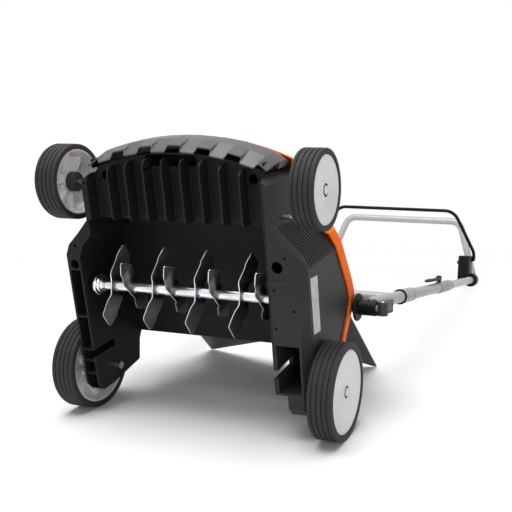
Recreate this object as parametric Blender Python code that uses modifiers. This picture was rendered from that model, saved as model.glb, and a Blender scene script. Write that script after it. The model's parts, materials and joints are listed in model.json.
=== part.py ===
"""Cordless lawn scarifier, tipped back on its rear wheels and handlebar.

Every piece is drawn in the machine's own frame and carried by one empty that
tips the whole machine back. In the machine's frame the origin is the centre
of the rear axle, X runs across the machine, Y runs rearwards towards the
handlebar and Z runs up from the lawn. Lengths are in metres. The world's
origin lies on the floor under the middle of the whole, FOOTPRINT_BACK behind
the rear axle.
"""
import bpy
import bmesh
from math import asin, atan2, cos, degrees, hypot, pi, radians, sin
from mathutils import Matrix, Vector

# Running and seating clearances
SEAT = 0.0003
RUN = 0.0008

# Wheels and axles
TIP_BACK = radians(84.0)
FOOTPRINT_BACK = 0.7340
REAR_WHEEL_R = 0.100
REAR_WHEEL_W = 0.051
REAR_WHEEL_GAP = 0.0055
FRONT_WHEEL_R = 0.0775
FRONT_WHEEL_W = 0.047
FRONT_TRACK_HALF = 0.2965
WHEEL_STEPS = 20
ROUND_STEPS = 16
TREAD_GROOVES = 4
GROOVE_DEPTH = 0.003
TYRE_WALL = 0.013
AXLE_R = 0.006
AXLE_HEAD_R = 0.008
AXLE_HEAD_LONG = 0.016
CRANK_Y = -0.357
CRANK_Z = -0.005
CRANK_ARM = 0.0535

# Chassis mouldings
WALL = 0.004
BODY_HALF = 0.262
NOSE_HALF = 0.200
SIDE_FRAME = 0.032
BELT_SPACE = 0.074
NOSE_Y = -0.478
NOSE_ARC_R = 0.555
SHOULDER_FRONT_Y = -0.345
SHOULDER_REAR_Y = -0.270
BOTTOM_Z = -0.062
ARM_END_Y = 0.038
INNER_LEFT = SIDE_FRAME - BODY_HALF
INNER_RIGHT = BODY_HALF - BELT_SPACE
ARM_FOOT_X = INNER_RIGHT + 0.0265
CRANK_X = NOSE_HALF + 0.022
REAR_TRACK_HALF = BODY_HALF + REAR_WHEEL_GAP + REAR_WHEEL_W
CHAMFER_WIDE = 0.013
CHAMFER_HIGH = 0.0255
CEILING_Z = 0.090
CHAMBER_FRONT_Y = -0.345
MACHINERY_Y = -0.262
REAR_WALL_TOP = 0.192
CHIN_Z = -0.030
RIBS = 8
RIB_PITCH = 0.0405
RIB_FIRST_X = -0.1375
RIB_THICK = 0.0026
GRIP_HALF = 0.058
GRIP_WIDTH = 0.023
GRIP_Y = -0.4625
GRIP_X = -0.013
SCREW_WELL_R = 0.0105
SCREW_WELL_Y = -0.431
VENTS = 13
VENT_PITCH = 0.0112
VENT_HIGH = 0.0052
VENT_DEEP = 0.007
VENT_LOW_Z = -0.032
VENT_END_Y = -0.263

# Bumper
BUMPER_DEEP = 0.026
BUMPER_TOP = 0.052
BUMPER_T = 0.0032
BUMPER_LOW = -0.042
NOTCHES = 6
NOTCH_PITCH = 0.0617
NOTCH_FIRST = -0.1483
NOTCH_WIDE = 0.029

# Rotor
ROTOR_Y = -0.1985
ROTOR_Z = -0.0284
SHAFT_R = 0.0100
JOURNAL_R = 0.008
LEFT_BOSS = 0.0315
BLADE_R = 0.086
BLADE_T = 0.0022
BLADE_PAIRS = 4
BLADE_ENDS = 0.1246
BLADE_PITCH = (INNER_RIGHT - INNER_LEFT - BLADE_ENDS) / (BLADE_PAIRS - 1)
BLADE_BEND_START = 0.019
BLADE_BEND_END = 0.062
BLADE_HALF = 0.0165
BLADE_A_X = INNER_LEFT + 0.0545
BLADE_B_X = INNER_LEFT + 0.098
BLADE_A_TURN = radians(168.0)
BLADE_B_TURN = radians(39.0)
BLADE_A_CRANK = 0.017
BLADE_B_CRANK = -0.015
BEARING_R = 0.023
ROTOR_PULLEY_R = 0.024

# Drive
MOTOR_R = 0.042
MOTOR_Y = -0.262
MOTOR_LONG = 0.106
MOTOR_X1 = INNER_RIGHT - 0.008
MOTOR_X0 = MOTOR_X1 - MOTOR_LONG
MOTOR_PULLEY_R = 0.014
PULLEY_X = INNER_RIGHT + 0.032
PULLEY_W = 0.020
BELT_T = 0.0025
BELT_W = 0.016

# Battery
BATTERY_X = -0.010
BATTERY_WIDE = 0.095
BATTERY_LONG = 0.096
BATTERY_HIGH = 0.100
TRAY_WALL = 0.004

# Hood
HOOD_T = 0.0032
HOOD_OVER = 0.004
HOOD_GAP = 0.0012
PANEL_GAP = 0.0008
CROWN = 0.108

# Discharge flap
FLAP_Y = -0.075
FLAP_Z = 0.247
FLAP_HALF = BODY_HALF - 0.027
FLAP_LONG = 0.286
FLAP_ARCH = 0.101
FLAP_T = 0.0035
FLAP_PIN_R = 0.003
FLAP_EAR_X = BODY_HALF - 0.020

# Handlebar, measured from its pivot along the leg. Heights are above the leg.
HANDLE_Y = -0.1053
HANDLE_Z = 0.2026
DISC_R = 0.031
DISC_T = 0.0125
DISC_BOSS_R = 0.016
DISC_BOSS = 0.0065
STUD_R = 0.005
KNUCKLE_R = 0.017
LEG_X = BODY_HALF + 0.043
LEG_R = 0.0148
LEG_BORE = 0.0138
LEG_LIFT = 0.010
LEG_END = 0.695
CROSSBAR_S = 0.186
CROSSBAR_R = 0.0125
SLEEVE_R = 0.0178
SLEEVE_START = 0.240
SLEEVE_END = 0.360
CLAMP_START = 0.680
CLAMP_END = 0.860
TUBE_R = 0.0132
UPPER_START = 0.470
CORNER_S = 1.330
GRIP_BAR_S = 1.3705
GRIP_BAR_UP = 0.219
GRIP_BAR_HALF = 0.230
BEND_R = 0.045
RING_R = 0.025
RING_START = 1.252
RING_END = 1.290
BOX_X = LEG_X - 0.003
BOX_WIDE = 0.040
BOX_START = 1.218
BOX_END = 1.290
BOX_UP = 0.018
BOX_HIGH = 0.072
BUTTON_R = 0.007
BUTTON_TRAVEL = 0.004
BAIL_R = 0.0045
BAIL_S = 1.2825
BAIL_UP = 0.075
BAIL_REACH = 0.1854
BAIL_HALF = 0.231
BAIL_OPEN = radians(45.5)
BAIL_BEND_R = 0.055
LEVER_LONG = 0.100
LEVER_WIDE = 0.030
LEVER_T = 0.010
CAM_R = 0.012
SLIDE_CAM_R = 0.0095
SLIDE_LEVER_LONG = 0.160
SLIDE_LEVER_WIDE = 0.014
SLIDE_LEVER_T = 0.007

# Height of the handlebar's pivot above the floor, and the drop of the legs
PIVOT_UP = REAR_WHEEL_R - HANDLE_Y * sin(TIP_BACK) + HANDLE_Z * cos(TIP_BACK)
RING_LOW = RING_R - LEG_LIFT
LEG_DROP = asin(PIVOT_UP / hypot(RING_END, RING_LOW)) - atan2(RING_LOW, RING_END)
LEG_ANGLE = TIP_BACK - LEG_DROP
FLAP_UP = REAR_WHEEL_R - FLAP_Y * sin(TIP_BACK) + FLAP_Z * cos(TIP_BACK)
FLAP_ANGLE = TIP_BACK - asin((FLAP_UP - 0.0025) / FLAP_LONG)
MOTOR_Z = CEILING_Z + WALL + SEAT + MOTOR_R

TOP_SEAM = [
    (-0.505, 0.0520),
    (-0.440, 0.0560),
    (-0.350, 0.0690),
    (-0.314, 0.0845),
    (-0.166, 0.1665),
    (-0.140, 0.1755),
    (-0.125, 0.1775),
    (-0.110, 0.1690),
    (-0.055, 0.1210),
    (-0.024, 0.1010),
]

for old in list(bpy.data.objects):
    bpy.data.objects.remove(old, do_unlink=True)

PARTS = bpy.data.collections.new("lawn_scarifier")
CUTTERS = bpy.data.collections.new("scarifier_cutters")
for group in (PARTS, CUTTERS):
    bpy.context.scene.collection.children.link(group)

MATERIALS = {}


def material(name, colour, roughness, metallic=0.0):
    """One Principled material, made once and shared by name."""
    if name not in MATERIALS:
        made = bpy.data.materials.new(name)
        made.use_nodes = True
        shader = made.node_tree.nodes["Principled BSDF"]
        shader.inputs["Base Color"].default_value = (*colour, 1.0)
        shader.inputs["Roughness"].default_value = roughness
        shader.inputs["Metallic"].default_value = metallic
        made.diffuse_color = (*colour, 1.0)
        MATERIALS[name] = made
    return MATERIALS[name]


HOUSING = ("housing_polymer", (0.030, 0.031, 0.033), 0.55)
BUMPER = ("bumper_polymer", (0.075, 0.077, 0.080), 0.50)
ORANGE = ("orange_polymer", (0.85, 0.22, 0.02), 0.38)
BLACK = ("black_polymer", (0.012, 0.012, 0.013), 0.35)
RUBBER = ("tyre_rubber", (0.020, 0.020, 0.021), 0.75)
RIM = ("rim_polymer", (0.55, 0.55, 0.56), 0.40)
CAP = ("cap_polymer", (0.78, 0.78, 0.78), 0.35)
ZINC = ("zinc_steel", (0.75, 0.76, 0.78), 0.25, 1.0)
BLADE = ("blade_steel", (0.16, 0.17, 0.18), 0.40, 1.0)
TUBE = ("handle_tube", (0.66, 0.66, 0.67), 0.35, 0.3)
SLEEVE = ("sleeve_polymer", (0.55, 0.55, 0.56), 0.45)
BRASS = ("bronze_bearing", (0.45, 0.38, 0.22), 0.40, 1.0)


def link(name, mesh, look=None, parent=None, group=PARTS):
    """Put a mesh in the scene as a part, with its material and parent."""
    made = bpy.data.objects.new(name, mesh)
    group.objects.link(made)
    made.parent = parent
    if look:
        mesh.materials.clear()
        mesh.materials.append(material(*look))
    if group is CUTTERS:
        made.hide_render = True
        made.display_type = "WIRE"
    return made


def empty(name, parent, place, turn_x=0.0):
    """An axis that carries the pieces that turn about it."""
    made = bpy.data.objects.new(name, None)
    made.empty_display_size = 0.03
    bpy.context.scene.collection.objects.link(made)
    made.parent = parent
    made.location = place
    made.rotation_euler = (turn_x, 0.0, 0.0)
    return made


def welded_mesh(curve, name):
    """The evaluated mesh of a curve, with its loose caps welded on."""
    holder = bpy.data.objects.new(name, curve)
    bpy.context.scene.collection.objects.link(holder)
    bpy.context.view_layer.update()
    graph = bpy.context.evaluated_depsgraph_get()
    mesh = bpy.data.meshes.new_from_object(holder.evaluated_get(graph))
    bpy.data.objects.remove(holder, do_unlink=True)
    bpy.data.curves.remove(curve)
    shape = bmesh.new()
    shape.from_mesh(mesh)
    bmesh.ops.remove_doubles(shape, verts=shape.verts, dist=1e-5)
    bmesh.ops.recalc_face_normals(shape, faces=shape.faces)
    shape.to_mesh(mesh)
    shape.free()
    mesh.name = name
    return mesh


# A flat outline is drawn in a curve's own XY plane and turned to its plane.
TURNS = {
    "plan": Matrix(((1, 0, 0), (0, 1, 0), (0, 0, 1))),
    "side": Matrix(((0, 0, 1), (1, 0, 0), (0, 1, 0))),
    "front": Matrix(((1, 0, 0), (0, 0, -1), (0, 1, 0))),
}


def outline_mesh(name, points, low, high, plane):
    """A closed outline extruded from low to high across its plane."""
    curve = bpy.data.curves.new(name, "CURVE")
    curve.dimensions = "2D"
    curve.fill_mode = "BOTH"
    curve.extrude = (high - low) / 2
    spline = curve.splines.new("POLY")
    spline.points.add(len(points) - 1)
    for spot, (u, v) in zip(spline.points, points):
        spot.co = (u, v, 0.0, 1.0)
    spline.use_cyclic_u = True
    mesh = welded_mesh(curve, name)
    mesh.transform(Matrix.Translation((0.0, 0.0, (low + high) / 2)))
    mesh.transform(TURNS[plane].to_4x4())
    return mesh


def tube_mesh(name, path, radius, resolution=3):
    """A round tube along a path of points, capped at both ends."""
    curve = bpy.data.curves.new(name, "CURVE")
    curve.dimensions = "3D"
    curve.bevel_depth = radius
    curve.bevel_resolution = resolution
    curve.use_fill_caps = True
    spline = curve.splines.new("POLY")
    spline.points.add(len(path) - 1)
    for spot, place in zip(spline.points, path):
        spot.co = (*place, 1.0)
    mesh = welded_mesh(curve, name)
    mesh.shade_smooth()
    mesh.set_sharp_from_angle(angle=radians(40))
    return mesh


def box_mesh(name, low, high):
    """A box between two corners."""
    shape = bmesh.new()
    bmesh.ops.create_cube(shape, size=1.0)
    size = Vector(high) - Vector(low)
    middle = (Vector(high) + Vector(low)) / 2
    bmesh.ops.scale(shape, vec=size, verts=shape.verts)
    bmesh.ops.translate(shape, vec=middle, verts=shape.verts)
    mesh = bpy.data.meshes.new(name)
    shape.to_mesh(mesh)
    shape.free()
    return mesh


def rod_mesh(name, radius, low, high, steps=16, axis="X", at=(0.0, 0.0)):
    """A cylinder along X, Y or Z between two stations."""
    shape = bmesh.new()
    bmesh.ops.create_cone(shape, cap_ends=True, segments=steps,
                          radius1=radius, radius2=radius, depth=high - low)
    bmesh.ops.translate(shape, vec=(0, 0, (low + high) / 2), verts=shape.verts)
    if axis == "X":
        turn = Matrix.Rotation(pi / 2, 3, "Y")
        shift = (0.0, *at)
    elif axis == "Y":
        turn = Matrix.Rotation(-pi / 2, 3, "X")
        shift = (at[0], 0.0, at[1])
    else:
        turn = Matrix.Identity(3)
        shift = (*at, 0.0)
    bmesh.ops.rotate(shape, matrix=turn, verts=shape.verts)
    bmesh.ops.translate(shape, vec=shift, verts=shape.verts)
    mesh = bpy.data.meshes.new(name)
    shape.to_mesh(mesh)
    shape.free()
    mesh.shade_smooth()
    mesh.set_sharp_from_angle(angle=radians(40))
    return mesh


def turned(name, profile, look, parent, steps=WHEEL_STEPS, closed=False, axis="X"):
    """A turned piece: a profile of (radius, station) spun about its axis."""
    shape = bmesh.new()
    spots = [shape.verts.new((r, 0.0, s)) for r, s in profile]
    for a, b in zip(spots, spots[1:]):
        shape.edges.new((a, b))
    if closed:
        shape.edges.new((spots[-1], spots[0]))
    mesh = bpy.data.meshes.new(name)
    shape.to_mesh(mesh)
    shape.free()
    made = link(name, mesh, look, parent)
    made.rotation_euler = {"X": (0, pi / 2, 0), "Y": (-pi / 2, 0, 0)}[axis]
    spin = made.modifiers.new("spin", "SCREW")
    spin.axis = "Z"
    spin.angle = 2 * pi
    spin.steps = steps
    spin.render_steps = steps
    spin.use_merge_vertices = True
    spin.merge_threshold = 0.00005
    spin.use_smooth_shade = True
    return made


def bore(radius, steps=16):
    """The radius of a faceted hole whose flats clear a round of this radius."""
    return (radius + SEAT) / cos(pi / steps)


def boolean(target, tool, kind):
    """Cut a part with a tool, or join the tool to it."""
    step = target.modifiers.new(kind.lower(), "BOOLEAN")
    step.operation = kind
    step.solver = "EXACT"
    step.object = tool


def cut(target, mesh, parent):
    """Take a mesh's shape out of a part."""
    boolean(target, link(target.name + "_cut", mesh, None, parent, CUTTERS), "DIFFERENCE")


def join(target, mesh, parent):
    """Add a mesh's shape to a part."""
    boolean(target, link(target.name + "_add", mesh, None, parent, CUTTERS), "UNION")


def rounded(target, width, segments=2, angle=35.0):
    """Round a part's sharp edges."""
    step = target.modifiers.new("round", "BEVEL")
    step.width = width
    step.segments = segments
    step.limit_method = "ANGLE"
    step.angle_limit = radians(angle)
    step.harden_normals = False


def between(table, y):
    """Read a piecewise straight line of (y, value) pairs."""
    for (ya, va), (yb, vb) in zip(table, table[1:]):
        if y <= yb:
            return va + (vb - va) * (y - ya) / (yb - ya)
    return table[-1][1]


def nose_arc(x, forward=0.0):
    """The y of the nose's arc at x, some way in front of the chassis."""
    radius = NOSE_ARC_R + forward
    return NOSE_Y + NOSE_ARC_R - (radius ** 2 - x ** 2) ** 0.5


def plan_outline(half_extra=0.0, forward=0.0):
    """The chassis seen from above, as a closed outline."""
    half = NOSE_HALF + half_extra
    body = BODY_HALF + half_extra
    arc = [half * 0.88 * i / 6 for i in range(7)]
    right = [(x, nose_arc(x, forward)) for x in arc]
    right += [
        (half, NOSE_Y + 0.053),
        (half, SHOULDER_FRONT_Y),
        (half + 0.025, SHOULDER_FRONT_Y + 0.027),
        (body - 0.010, SHOULDER_REAR_Y - 0.022),
        (body, SHOULDER_REAR_Y),
        (body, ARM_END_Y + 0.010),
    ]
    left = [(-x, y) for x, y in reversed(right[1:])]
    return right + left


def side_outline():
    """The chassis seen from its side, as a closed outline of (y, z)."""
    top = [(y, z) for y, z in reversed(TOP_SEAM[1:])]
    return [
        (NOSE_Y - 0.004, -0.046),
        (NOSE_Y + 0.012, BOTTOM_Z),
        (ARM_END_Y - 0.018, BOTTOM_Z),
        (ARM_END_Y, -0.048),
        (ARM_END_Y, -0.012),
        (0.024, 0.090),
    ] + top + [(NOSE_Y - 0.004, BUMPER_TOP)]


def chamber_outline(inset=0.0):
    """The rotor chamber's roof, open below and to the rear, as (y, z)."""
    front = CHAMBER_FRONT_Y - inset
    return [
        (front, CEILING_Z - 0.030 + inset),
        (-0.325, CEILING_Z - 0.012 + inset),
        (-0.294, CEILING_Z - 0.004 + inset),
        (-0.250, CEILING_Z + inset),
        (-0.145, CEILING_Z - 0.002 + inset),
        (-0.092, CEILING_Z + 0.019 + inset),
        (-0.056, CEILING_Z + 0.021 + inset),
    ]


def chamber_plan():
    """The rotor chamber from above, narrowed behind the nose on the left."""
    nose = NOSE_HALF - WALL
    return [
        (-nose, CHAMBER_FRONT_Y - 0.05),
        (INNER_RIGHT, CHAMBER_FRONT_Y - 0.05),
        (INNER_RIGHT, 0.2),
        (INNER_LEFT, 0.2),
        (INNER_LEFT, SHOULDER_REAR_Y + 0.004),
        (INNER_LEFT + 0.010, SHOULDER_REAR_Y - 0.020),
        (-nose, SHOULDER_FRONT_Y + 0.030),
    ]


def make_frame():
    """The empty that tips the whole machine back about its rear axle."""
    return empty("tipped_frame", None, (0.0, -FOOTPRINT_BACK, REAR_WHEEL_R), -TIP_BACK)


def body_block(name, x0, x1, frame, look):
    """The part of the chassis's outer form between two planes across it."""
    made = link(name, outline_mesh(name, side_outline(), x0, x1, "side"), look, frame)
    guide = outline_mesh(name, plan_outline(), BOTTOM_Z - 0.05, 0.3, "plan")
    boolean(made, link(name + "_plan", guide, None, frame, CUTTERS), "INTERSECT")
    return made


def make_housing(frame):
    """The chassis moulding: rotor chamber, ribbed chin and left side frame."""
    right = INNER_RIGHT + WALL
    housing = body_block("chassis_housing", -BODY_HALF - 0.01, right, frame, HOUSING)
    roof = chamber_outline()
    below = [(0.1, roof[-1][1]), (0.1, -0.2), (CHAMBER_FRONT_Y, -0.2)]
    chamber = link("chamber", outline_mesh("chamber", roof + below, INNER_LEFT, INNER_RIGHT, "side"),
                   None, frame, CUTTERS)
    plan = outline_mesh("chamber_plan", chamber_plan(), BOTTOM_Z - 0.2, 0.3, "plan")
    boolean(chamber, link("chamber_plan", plan, None, frame, CUTTERS), "INTERSECT")
    boolean(housing, chamber, "DIFFERENCE")

    # Upper space for the motor and battery, closed below by the chamber's roof
    floor = chamber_outline(WALL)
    rear = floor[-1][0] - WALL
    floor[-1] = (rear, floor[-1][1])
    above = [(rear, 0.3), (-0.448, 0.3), (-0.448, CHIN_Z + WALL), (floor[0][0], CHIN_Z + WALL)]
    cavity_low = -BODY_HALF + WALL
    nose_low = -NOSE_HALF + WALL
    narrow = outline_mesh("nose_space", [(y, z) for y, z in floor + above], nose_low,
                          INNER_RIGHT - WALL, "side")
    cut(housing, narrow, frame)
    wide = [(MACHINERY_Y, 0.3), (MACHINERY_Y, CEILING_Z + WALL)] + floor[4:] + [(rear, 0.3)]
    cut(housing, outline_mesh("side_space", wide, cavity_low, -0.15, "side"), frame)

    # Rear wall of the battery's space, up to the flap's hinge
    roof_end = roof[-1]
    back = [(rear - 0.014, REAR_WALL_TOP), (rear - 0.010, REAR_WALL_TOP), (rear + WALL, roof_end[1] + 0.001),
            (rear, roof_end[1] + 0.001)]
    join(housing, outline_mesh("rear_wall", back, INNER_LEFT - 0.001, right - 0.001, "side"), frame)

    make_chin(housing, frame)
    make_left_channel(housing, frame)

    # Bores for the rotor, the motor's shaft and the rear axle
    cut(housing, rod_mesh("right_bearing_seat", bore(BEARING_R), 0.15, 0.25, ROUND_STEPS, "X",
                          (ROTOR_Y, ROTOR_Z)), frame)
    cut(housing, rod_mesh("motor_shaft_way", 0.012, INNER_RIGHT - 0.01, 0.25, 16, "X",
                          (MOTOR_Y, MOTOR_Z)), frame)
    cut(housing, rod_mesh("left_axle_way", bore(AXLE_R), -BODY_HALF - 0.04, INNER_LEFT + 0.01, 16), frame)
    cut(housing, rod_mesh("crank_way", AXLE_R + RUN, -NOSE_HALF - 0.04, NOSE_HALF + 0.04, 16, "X",
                          (CRANK_Y, CRANK_Z)), frame)

    # The right arm's inner wall stops short of the axle and has a hook slot
    cut(housing, box_mesh("right_arm_end", (INNER_RIGHT - 0.01, -0.008, -0.1),
                          (INNER_RIGHT + 0.02, 0.1, 0.16)), frame)
    for x in (INNER_LEFT - 0.002, INNER_RIGHT + 0.002):
        cut(housing, hook_slot(x), frame)
    return housing


def hook_slot(x):
    """The slot for the catcher's hook in the inner wall of an arm."""
    return box_mesh("hook_slot", (x - 0.004, -0.060, -0.1), (x + 0.004, -0.043, 0.012))


def make_chin(housing, frame):
    """Ribs, grip pocket and screw wells under the nose."""
    side = NOSE_HALF - 0.012
    edges = [-side]
    for i in range(RIBS):
        middle = RIB_FIRST_X + i * RIB_PITCH
        edges += [middle - RIB_THICK / 2, middle + RIB_THICK / 2]
    edges.append(min(side, INNER_RIGHT))
    bay = [(NOSE_Y - 0.05, -0.1), (NOSE_Y - 0.05, CHIN_Z), (CHAMBER_FRONT_Y + 0.010, CHIN_Z),
           (CHAMBER_FRONT_Y + 0.010, -0.1)]
    for low, high in zip(edges[0::2], edges[1::2]):
        cut(housing, outline_mesh("chin_bay", bay, low, high, "side"), frame)

    # The ribs' edges curve back into the nose in front and shorten behind
    nose_round = [(0.05, -0.1), (-0.024, -0.1), (-0.024, BOTTOM_Z - 0.0004), (-0.0150, -0.0600),
                  (-0.0095, -0.0545), (-0.0072, -0.0460), (-0.0062, CHIN_Z - 0.0004),
                  (0.05, CHIN_Z - 0.0004)]
    reach = asin((NOSE_HALF + 0.02) / NOSE_ARC_R)
    sweep = [(reach * (i - 6) / 6, nose_round) for i in range(13)]
    cut(housing, arc_sweep("nose_round", sweep), frame)
    front = CHAMBER_FRONT_Y
    tail = [(front - 0.012, BOTTOM_Z - 0.0004), (front - 0.0045, -0.0600), (front - 0.0008, -0.0555),
            (front - 0.0004, -0.048), (front + 0.005, -0.048), (front + 0.005, -0.1), (front - 0.012, -0.1)]
    cut(housing, outline_mesh("rib_tails", tail, -side, INNER_RIGHT, "side"), frame)

    reach = GRIP_WIDTH / 2
    ends = [(GRIP_X + side * (GRIP_HALF - reach) + reach * cos(a), GRIP_Y + reach * sin(a))
            for side, start in ((1, -pi / 2), (-1, pi / 2))
            for a in (start + pi * i / 6 for i in range(7))]
    cut(housing, outline_mesh("grip_pocket", ends, -0.1, 0.030, "plan"), frame)
    for x in (-0.163, 0.160):
        cut(housing, rod_mesh("screw_well", SCREW_WELL_R, -0.1, 0.0, 16, "Z",
                              (x, SCREW_WELL_Y)), frame)

    # Holes in the closed flange of the left side frame
    for x, y, radius in ((INNER_LEFT - 0.015, -0.250, 0.0105), (INNER_LEFT - 0.008, -0.290, 0.0035),
                         (0.006 - NOSE_HALF, -0.420, 0.003)):
        cut(housing, rod_mesh("flange_hole", radius, -0.1, -0.040, 12, "Z", (x, y)), frame)


def make_left_channel(housing, frame):
    """The left side frame is a deep channel, open below, with cross webs."""
    web = 0.003
    stations = [-0.2385, -0.135, -0.060, -0.035, -0.005, ARM_END_Y - 0.004 + web / 2]
    for rear, front in zip(stations[1:], stations):
        cut(housing, box_mesh("channel", (-BODY_HALF + WALL, front + web / 2, -0.1),
                              (INNER_LEFT - WALL, rear - web / 2, 0.045)), frame)


def make_drive_cover(frame):
    """The right side moulding over the belt, with vents and the right arm."""
    low = INNER_RIGHT + WALL + SEAT
    cover = body_block("drive_cover", low, BODY_HALF + 0.01, frame, HOUSING)
    inner = BODY_HALF - WALL
    floor = BOTTOM_Z + WALL
    body = BODY_HALF - VENT_DEEP
    nose = NOSE_HALF - VENT_DEEP + 0.0015
    space = [(low - 0.01, SHOULDER_FRONT_Y + 0.0345), (nose + 0.0215, SHOULDER_FRONT_Y + 0.0345),
             (body - 0.012, SHOULDER_REAR_Y - 0.0145), (body - 0.012, -0.118), (low - 0.01, -0.118)]
    cut(cover, outline_mesh("belt_space", space, floor, 0.3, "plan"), frame)

    # Outer lower edge, cut off at a slant, and the arm's channel inside it
    slant = [(BODY_HALF - CHAMFER_WIDE, BOTTOM_Z - 0.0004), (BODY_HALF + 0.0004, BOTTOM_Z + CHAMFER_HIGH),
             (0.3, BOTTOM_Z + CHAMFER_HIGH), (0.3, -0.1), (BODY_HALF - CHAMFER_WIDE, -0.1)]
    cut(cover, outline_mesh("lower_slant", slant, -0.1, 0.4, "front"), frame)
    channel = [(low + WALL, -0.1), (inner - CHAMFER_WIDE, -0.1), (inner - CHAMFER_WIDE, BOTTOM_Z),
               (inner, BOTTOM_Z + CHAMFER_HIGH), (inner, 0.045), (low + WALL, 0.045)]
    cut(cover, outline_mesh("arm_channel", channel, 0.012, 0.114, "front"), frame)
    cut(cover, box_mesh("arm_inside", (low - 0.01, -0.008, -0.1), (ARM_FOOT_X, 0.1, 0.3)), frame)
    cut(cover, hook_slot(low + WALL / 2), frame)
    cut(cover, rod_mesh("right_axle_way", bore(AXLE_R), ARM_FOOT_X - 0.01, BODY_HALF + 0.04, 16), frame)
    cut(cover, rod_mesh("crank_way", AXLE_R + RUN, low - 0.01, NOSE_HALF + 0.04, 16, "X",
                        (CRANK_Y, CRANK_Z)), frame)
    for x, y, radius in ((0.022, -0.272, 0.012), (0.039, -0.290, 0.003), (0.013, -0.227, 0.003),
                         (0.051, -0.187, 0.003), (0.012, -0.148, 0.003)):
        cut(cover, rod_mesh("plate_hole", radius, -0.1, floor + 0.002, 12, "Z", (INNER_RIGHT + x, y)),
            frame)

    # A row of louvres round the shoulder
    louvre = [(nose, SHOULDER_FRONT_Y + 0.004), (nose + 0.025, SHOULDER_FRONT_Y + 0.031),
              (body - 0.008, SHOULDER_REAR_Y - 0.018), (body, SHOULDER_REAR_Y + 0.002), (body, VENT_END_Y),
              (0.3, VENT_END_Y), (0.3, SHOULDER_FRONT_Y + 0.004)]
    low_z = VENT_LOW_Z
    slot = link("louvres", outline_mesh("louvres", louvre, low_z, low_z + VENT_HIGH, "plan"),
                None, frame, CUTTERS)
    row = slot.modifiers.new("row", "ARRAY")
    row.use_relative_offset = False
    row.use_constant_offset = True
    row.constant_offset_displace = (0.0, 0.0, VENT_PITCH)
    row.count = VENTS
    boolean(cover, slot, "DIFFERENCE")
    return cover


def arc_sweep(name, stations):
    """A closed section of (outwards, up) swept along the nose's arc."""
    shape = bmesh.new()
    rings = []
    for angle, section in stations:
        ring = []
        for out, up in section:
            radius = NOSE_ARC_R + out
            ring.append(shape.verts.new((radius * sin(angle),
                                         NOSE_Y + NOSE_ARC_R - radius * cos(angle), up)))
        rings.append(ring)
    count = len(rings[0])
    for here, there in zip(rings, rings[1:]):
        for k in range(count):
            shape.faces.new((here[k], here[(k + 1) % count], there[(k + 1) % count], there[k]))
    shape.faces.new(rings[0])
    shape.faces.new(list(reversed(rings[-1])))
    bmesh.ops.recalc_face_normals(shape, faces=shape.faces)
    mesh = bpy.data.meshes.new(name)
    shape.to_mesh(mesh)
    shape.free()
    return mesh


def bumper_section(is_notch, taper):
    """The bumper's section: a cap, a hanging front wall, and its notch."""
    back = 2 * SEAT
    face = BUMPER_DEEP * taper
    top = [(back, BUMPER_TOP), (face - 0.006, BUMPER_TOP), (face, BUMPER_TOP - 0.022),
           (face - 0.001, -0.012)]
    if is_notch:
        foot = 0.0030 + BUMPER_T
        low = BUMPER_LOW - 0.010
    else:
        foot = face - 0.009
        low = BUMPER_LOW
    wall = [(foot, low), (foot - BUMPER_T, low), (face - 0.001 - BUMPER_T, -0.010),
            (face - BUMPER_T, 0.010), (back, 0.010)]
    return top + wall


def make_bumper(frame):
    """The castellated bumper, swept along the nose's arc."""
    middle = NOSE_ARC_R + 0.003
    reach = asin((NOSE_HALF + 0.002) / (NOSE_ARC_R + BUMPER_DEEP))
    step = 0.0030 / middle
    turns = [(-reach, False)]
    for i in range(NOTCHES):
        start = (NOTCH_FIRST + i * NOTCH_PITCH - NOTCH_WIDE / 2) / middle
        end = start + NOTCH_WIDE / middle
        turns += [(start - step, False), (start, True), (end, True), (end + step, False)]
    turns.append((reach, False))
    stations = [(a, bumper_section(notch, 1.0 - 0.35 * (abs(a) / reach) ** 10)) for a, notch in turns]
    return link("front_bumper", arc_sweep("front_bumper", stations), BUMPER, frame)


# The hood is one surface of (across, along). Across runs -1 to 1 over the
# crown, and along is the y of the section.
HOOD_U = [-1.0, -0.95, -0.87, -0.75, -0.60, -0.42, -0.23, -0.10, 0.0, 0.10, 0.23, 0.42, 0.60, 0.75,
          0.87, 0.95, 1.0]
HOOD_Y = [-0.500, -0.488, -0.468, -0.440, -0.400, -0.350, -0.314, SHOULDER_REAR_Y - 0.030,
          SHOULDER_REAR_Y, -0.254, -0.210, -0.166, -0.140, -0.125, -0.110, -0.104, -0.078, -0.055, -0.036]
FASCIA_U = 0.23
FASCIA_END = SHOULDER_REAR_Y
LID_FRONT = -0.254
HINGE_U = 0.75
LID_REAR = -0.104
HOOD_BOW = 0.040


def hood_point(u, y):
    """A point on the hood's outer surface."""
    half_table = [(-0.505, NOSE_HALF), (SHOULDER_FRONT_Y - 0.007, NOSE_HALF),
                  (SHOULDER_REAR_Y - 0.030, BODY_HALF - 0.008), (SHOULDER_REAR_Y, BODY_HALF),
                  (0.2, BODY_HALF)]
    rise_table = [(-0.500, 0.002), (-0.488, 0.030), (-0.468, 0.052), (-0.440, CROWN - 0.036),
                  (-0.400, CROWN - 0.016), (-0.330, CROWN), (-0.10, CROWN), (-0.03, CROWN - 0.020)]
    half = between(half_table, y) + HOOD_OVER
    angle = pi / 2 * (1 - abs(u))
    x = half * cos(angle) ** (2 / 3.2)
    bow = HOOD_BOW * (x / NOSE_HALF) ** 2 * max(0.0, (-0.30 - y) / 0.20)
    seam = between(TOP_SEAM, y + bow) + HOOD_GAP
    z = seam
    if abs(u) < 1.0:
        z = seam + between(rise_table, y) * sin(angle) ** (2 / 3.2)
    return Vector((x if u >= 0 else -x, y + bow, z))


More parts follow.
